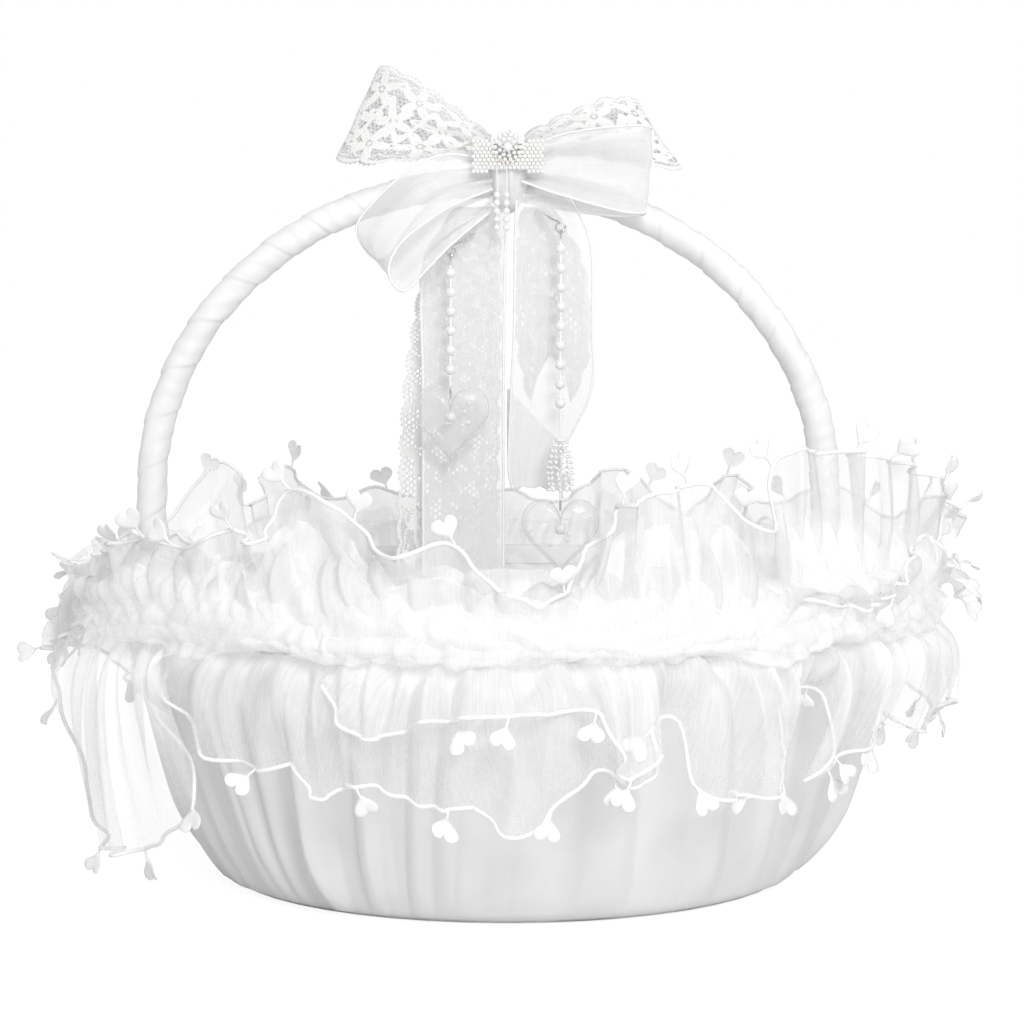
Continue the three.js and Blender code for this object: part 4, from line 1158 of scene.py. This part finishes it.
def build_brooch():
    low, high, middle = box_mm("brooch_plate")
    front = low[1]
    half_width, _, half_height = (high - low) / 2

    def waist(x, least):
        """The plate's half height at x: it is narrower at the middle."""
        return half_height * (least + 0.2 * min(1, abs(x) / (half_width * 0.72)))

    pearls = []
    for row in range(-6, 7):
        for column in range(-8, 9):
            x = (column + (0.5 if row % 2 else 0)) * PLATE_BEAD_PITCH
            z = row * PLATE_BEAD_PITCH * 0.87
            if abs(x) > half_width - 0.6 or abs(z) > waist(x, 0.5):
                continue
            place = (middle[0] + x, front - 0.25, middle[2] - PLATE_DROP + z)
            pearls.append(sphere_mesh(place, PLATE_BEAD_RADIUS, 8, 12))
    on_root(joined("brooch_pearls", pearls, "pearl_bead"), "pearl")
    outline = []
    for i in range(72):
        turn = 2 * math.pi * i / 72
        x = half_width * 0.97 * math.cos(turn)
        outline.append((x, waist(x, 0.54) * math.sin(turn) - PLATE_DROP))
    rings = []
    for scale, y in ((0.01, 0.5), (0.9, 0.5), (1.0, 0.2), (1.0, -0.2), (0.9, -0.5), (0.01, -0.5)):
        rings.append([(middle[0] + x * scale, middle[1] + y, middle[2] + z * scale) for x, z in outline])
    plate = grid_object("brooch_backing", np.array(rings), "petal_cloth", wrap_columns=True)
    on_root(plate, "pearl", "brooch_plate")

    _, high, centre = box_mm("brooch_centre")
    centre = centre - (0, 0, 1.5)
    back = high[1]
    beads = [sphere_mesh((centre[0], back - 2.6, centre[2]), 1.6, 14, 20)]
    for count, reach, size, depth in ((9, 2.7, 0.8, 1.9), (14, 4.1, 0.75, 1.3), (20, 4.9, 0.65, 0.6)):
        beads += bead_ring(centre, back - depth, count, reach, size, (8, 12))
    on_root(joined("brooch_cluster", beads, "pearl_bead"), "pearl", "brooch_centre")
    stones = bead_ring(centre, back - 2.9, 7, 1.9, 0.5, (5, 7), first=0.5)
    on_root(joined("brooch_stones", stones, "crystal"), "clear_acrylic")


# ---- hanging strands ----
BEAD_RADIUS = 1.75
BEAD_PITCH = 6.4
STRAND_LEAD = 0.8
SEED_RADIUS = 1.1
SEED_PITCH = 2.7
SEED_LEAD = 8.5
HEART_HALF_DEPTH = 3.6
HEART_STRETCH = 1.12


def thread_object(name, points):
    curve = bpy.data.curves.new(name, "CURVE")
    curve.dimensions = "3D"
    curve.bevel_depth = THREAD_RADIUS * MM
    curve.bevel_resolution = 3
    spline = curve.splines.new("POLY")
    spline.points.add(len(points) - 1)
    for point, (x, y, z) in zip(spline.points, points):
        point.co = (x * MM, y * MM, z * MM, 1)
    curve.materials.append(bpy.data.materials["cord_thread"])
    return in_scene(name, curve)


def strand(side, beads, with_cap):
    """A thread that hangs with pearls spaced along it, and on the right with a net cap under them."""
    body = f"strand_{side}"
    node = f"pearl_strand_{side}"
    low, high, (x, y, _) = box_mm(node)
    top, foot = high[2], low[2]

    def on_thread(z):
        return x + 0.12 * math.sin((top - z) / 9), y, z

    thread = thread_object(f"{node}_thread", [on_thread(z) for z in np.linspace(top, foot, 24)])
    put(thread, body, "thread", node)
    first = top - STRAND_LEAD - BEAD_RADIUS
    parts = [sphere_mesh(on_thread(first - i * BEAD_PITCH), BEAD_RADIUS, 14, 20) for i in range(beads)]
    pearls = joined(f"{node}_beads", parts, "pearl_bead")
    put(pearls, body, "pearl")
    if with_cap:
        build_cap(x, y, body)


def build_cap(x, y, body):
    """A gathered bell of beaded net: leaning ribs of tiny beads that open out from the thread."""
    low, high, _ = box_mm("bead_cap_right")
    top, height = high[2], high[2] - low[2]
    parts = []
    ribs = 11
    for k in range(ribs):
        turn = 2 * math.pi * k / ribs
        for i in range(10):
            share = i / 9
            radius = 1.2 + 2.9 * math.sin(math.pi / 2 * min(1, share * 1.5)) ** 0.8
            lean = turn + 0.7 * share
            drop = 0.8 + (height - 1.6) * share
            place = (x + radius * math.cos(lean), y + radius * math.sin(lean), top - drop)
            parts.append(sphere_mesh(place, 0.62, 6, 8))
    piece = joined("bead_cap_net", parts, "cord_thread")
    put(piece, body, "lace", "bead_cap_right")
    return piece


def scaled_heart(width):
    outline = heart_outline(width, 40)
    outline[:, 1] *= HEART_STRETCH
    return outline


def heart_shell(side, place, face, centre, outline):
    """Half of the clear heart: a smooth dome outside and a smooth pocket inside, joined at a flat rim."""
    depth = HEART_HALF_DEPTH - 0.15
    rings = []
    for angle in np.radians(np.linspace(88, 0, 14)):
        rings.append((0.02 + 0.98 * math.cos(angle) ** 0.62, depth * math.sin(angle) ** 0.9))
    for angle in np.radians(np.linspace(0, 88, 12)):
        rings.append((0.02 + 0.9 * math.cos(angle) ** 0.62, (depth - 0.9) * math.sin(angle) ** 0.9))
    grid = np.array([[(centre[0] + px * scale, centre[1] + face * (0.15 + lift), centre[2] + pz * scale)
                      for px, pz in outline] for scale, lift in rings])
    if face > 0:
        grid = grid[:, ::-1]
    piece = grid_object(f"heart_shell_{place}_{side}", grid, "clear_shell", wrap_columns=True)
    put(piece, f"heart_{side}", "clear_acrylic", f"heart_{place}_{side}")


def build_heart(side):
    low, high, middle = box_mm(f"heart_front_{side}")
    outline = scaled_heart(high[0] - low[0])
    centre = (middle[0], high[1] + 0.15, high[2] - outline[:, 1].max())
    for place, face in (("front", -1), ("back", 1)):
        heart_shell(side, place, face, centre, outline)
    _, _, spot = box_mm(f"heart_pearl_{side}")
    beads = [sphere_mesh(spot, 1.85, 14, 20)]
    draw = random.Random(side)
    for _ in range(9):
        place = [draw.uniform(-6.5, 6.5), draw.uniform(-0.5, 0.5), draw.uniform(-5.5, 4.5)]
        beads.append(sphere_mesh(spot + np.array(place), draw.uniform(0.5, 0.8), 8, 10))
    put(joined(f"heart_filling_{side}", beads, "pearl_bead"), f"heart_{side}", "pearl", f"heart_pearl_{side}")


def build_seeds(side):
    node = f"seed_strand_{side}"
    low, high, (x, y, _) = box_mm(node)
    top, foot = high[2], low[2]
    parts = [open_tube(np.array([(x, y, top), (x + 0.15, y, (top + foot) / 2), (x, y, foot)]), 0.25, 6)]
    for i in range(5):
        parts.append(sphere_mesh((x, y, top - SEED_LEAD - SEED_RADIUS - i * SEED_PITCH), SEED_RADIUS, 10, 14))
    put(joined(f"{node}_beads", parts, "pearl_bead"), f"seeds_{side}", "pearl", node)


def carried_over():
    """Procedural materials for the CAD nodes that stay."""
    looks = {"base_cover": "satin_white", "base_board": "fibre_board"}
    looks.update(dict.fromkeys(("bottom_hoop", "rim_hoop", "wicker_wall", "handle_core"), "willow"))
    for name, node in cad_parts.items():
        if any(word in name for word in ("hook", "link", "bail")):
            look = "silver_wire"
        elif name in looks:
            look = looks[name]
        else:
            continue
        node.data.materials.clear()
        node.data.materials.append(bpy.data.materials[look])
        if look in ("silver_wire", "willow"):
            node.data.polygons.foreach_set("use_smooth", [True] * len(node.data.polygons))


build_camera()
make_materials()
strand("left", 6, with_cap=False)
strand("right", 9, with_cap=True)
build_stage()
build_cover()
build_lining()
build_pad()
build_handle()
build_ruffle()
build_bow()
for hand in ("left", "right"):
    build_heart(hand)
for hand in ("left", "right"):
    build_seeds(hand)
carried_over()

bpy.context.view_layer.update()
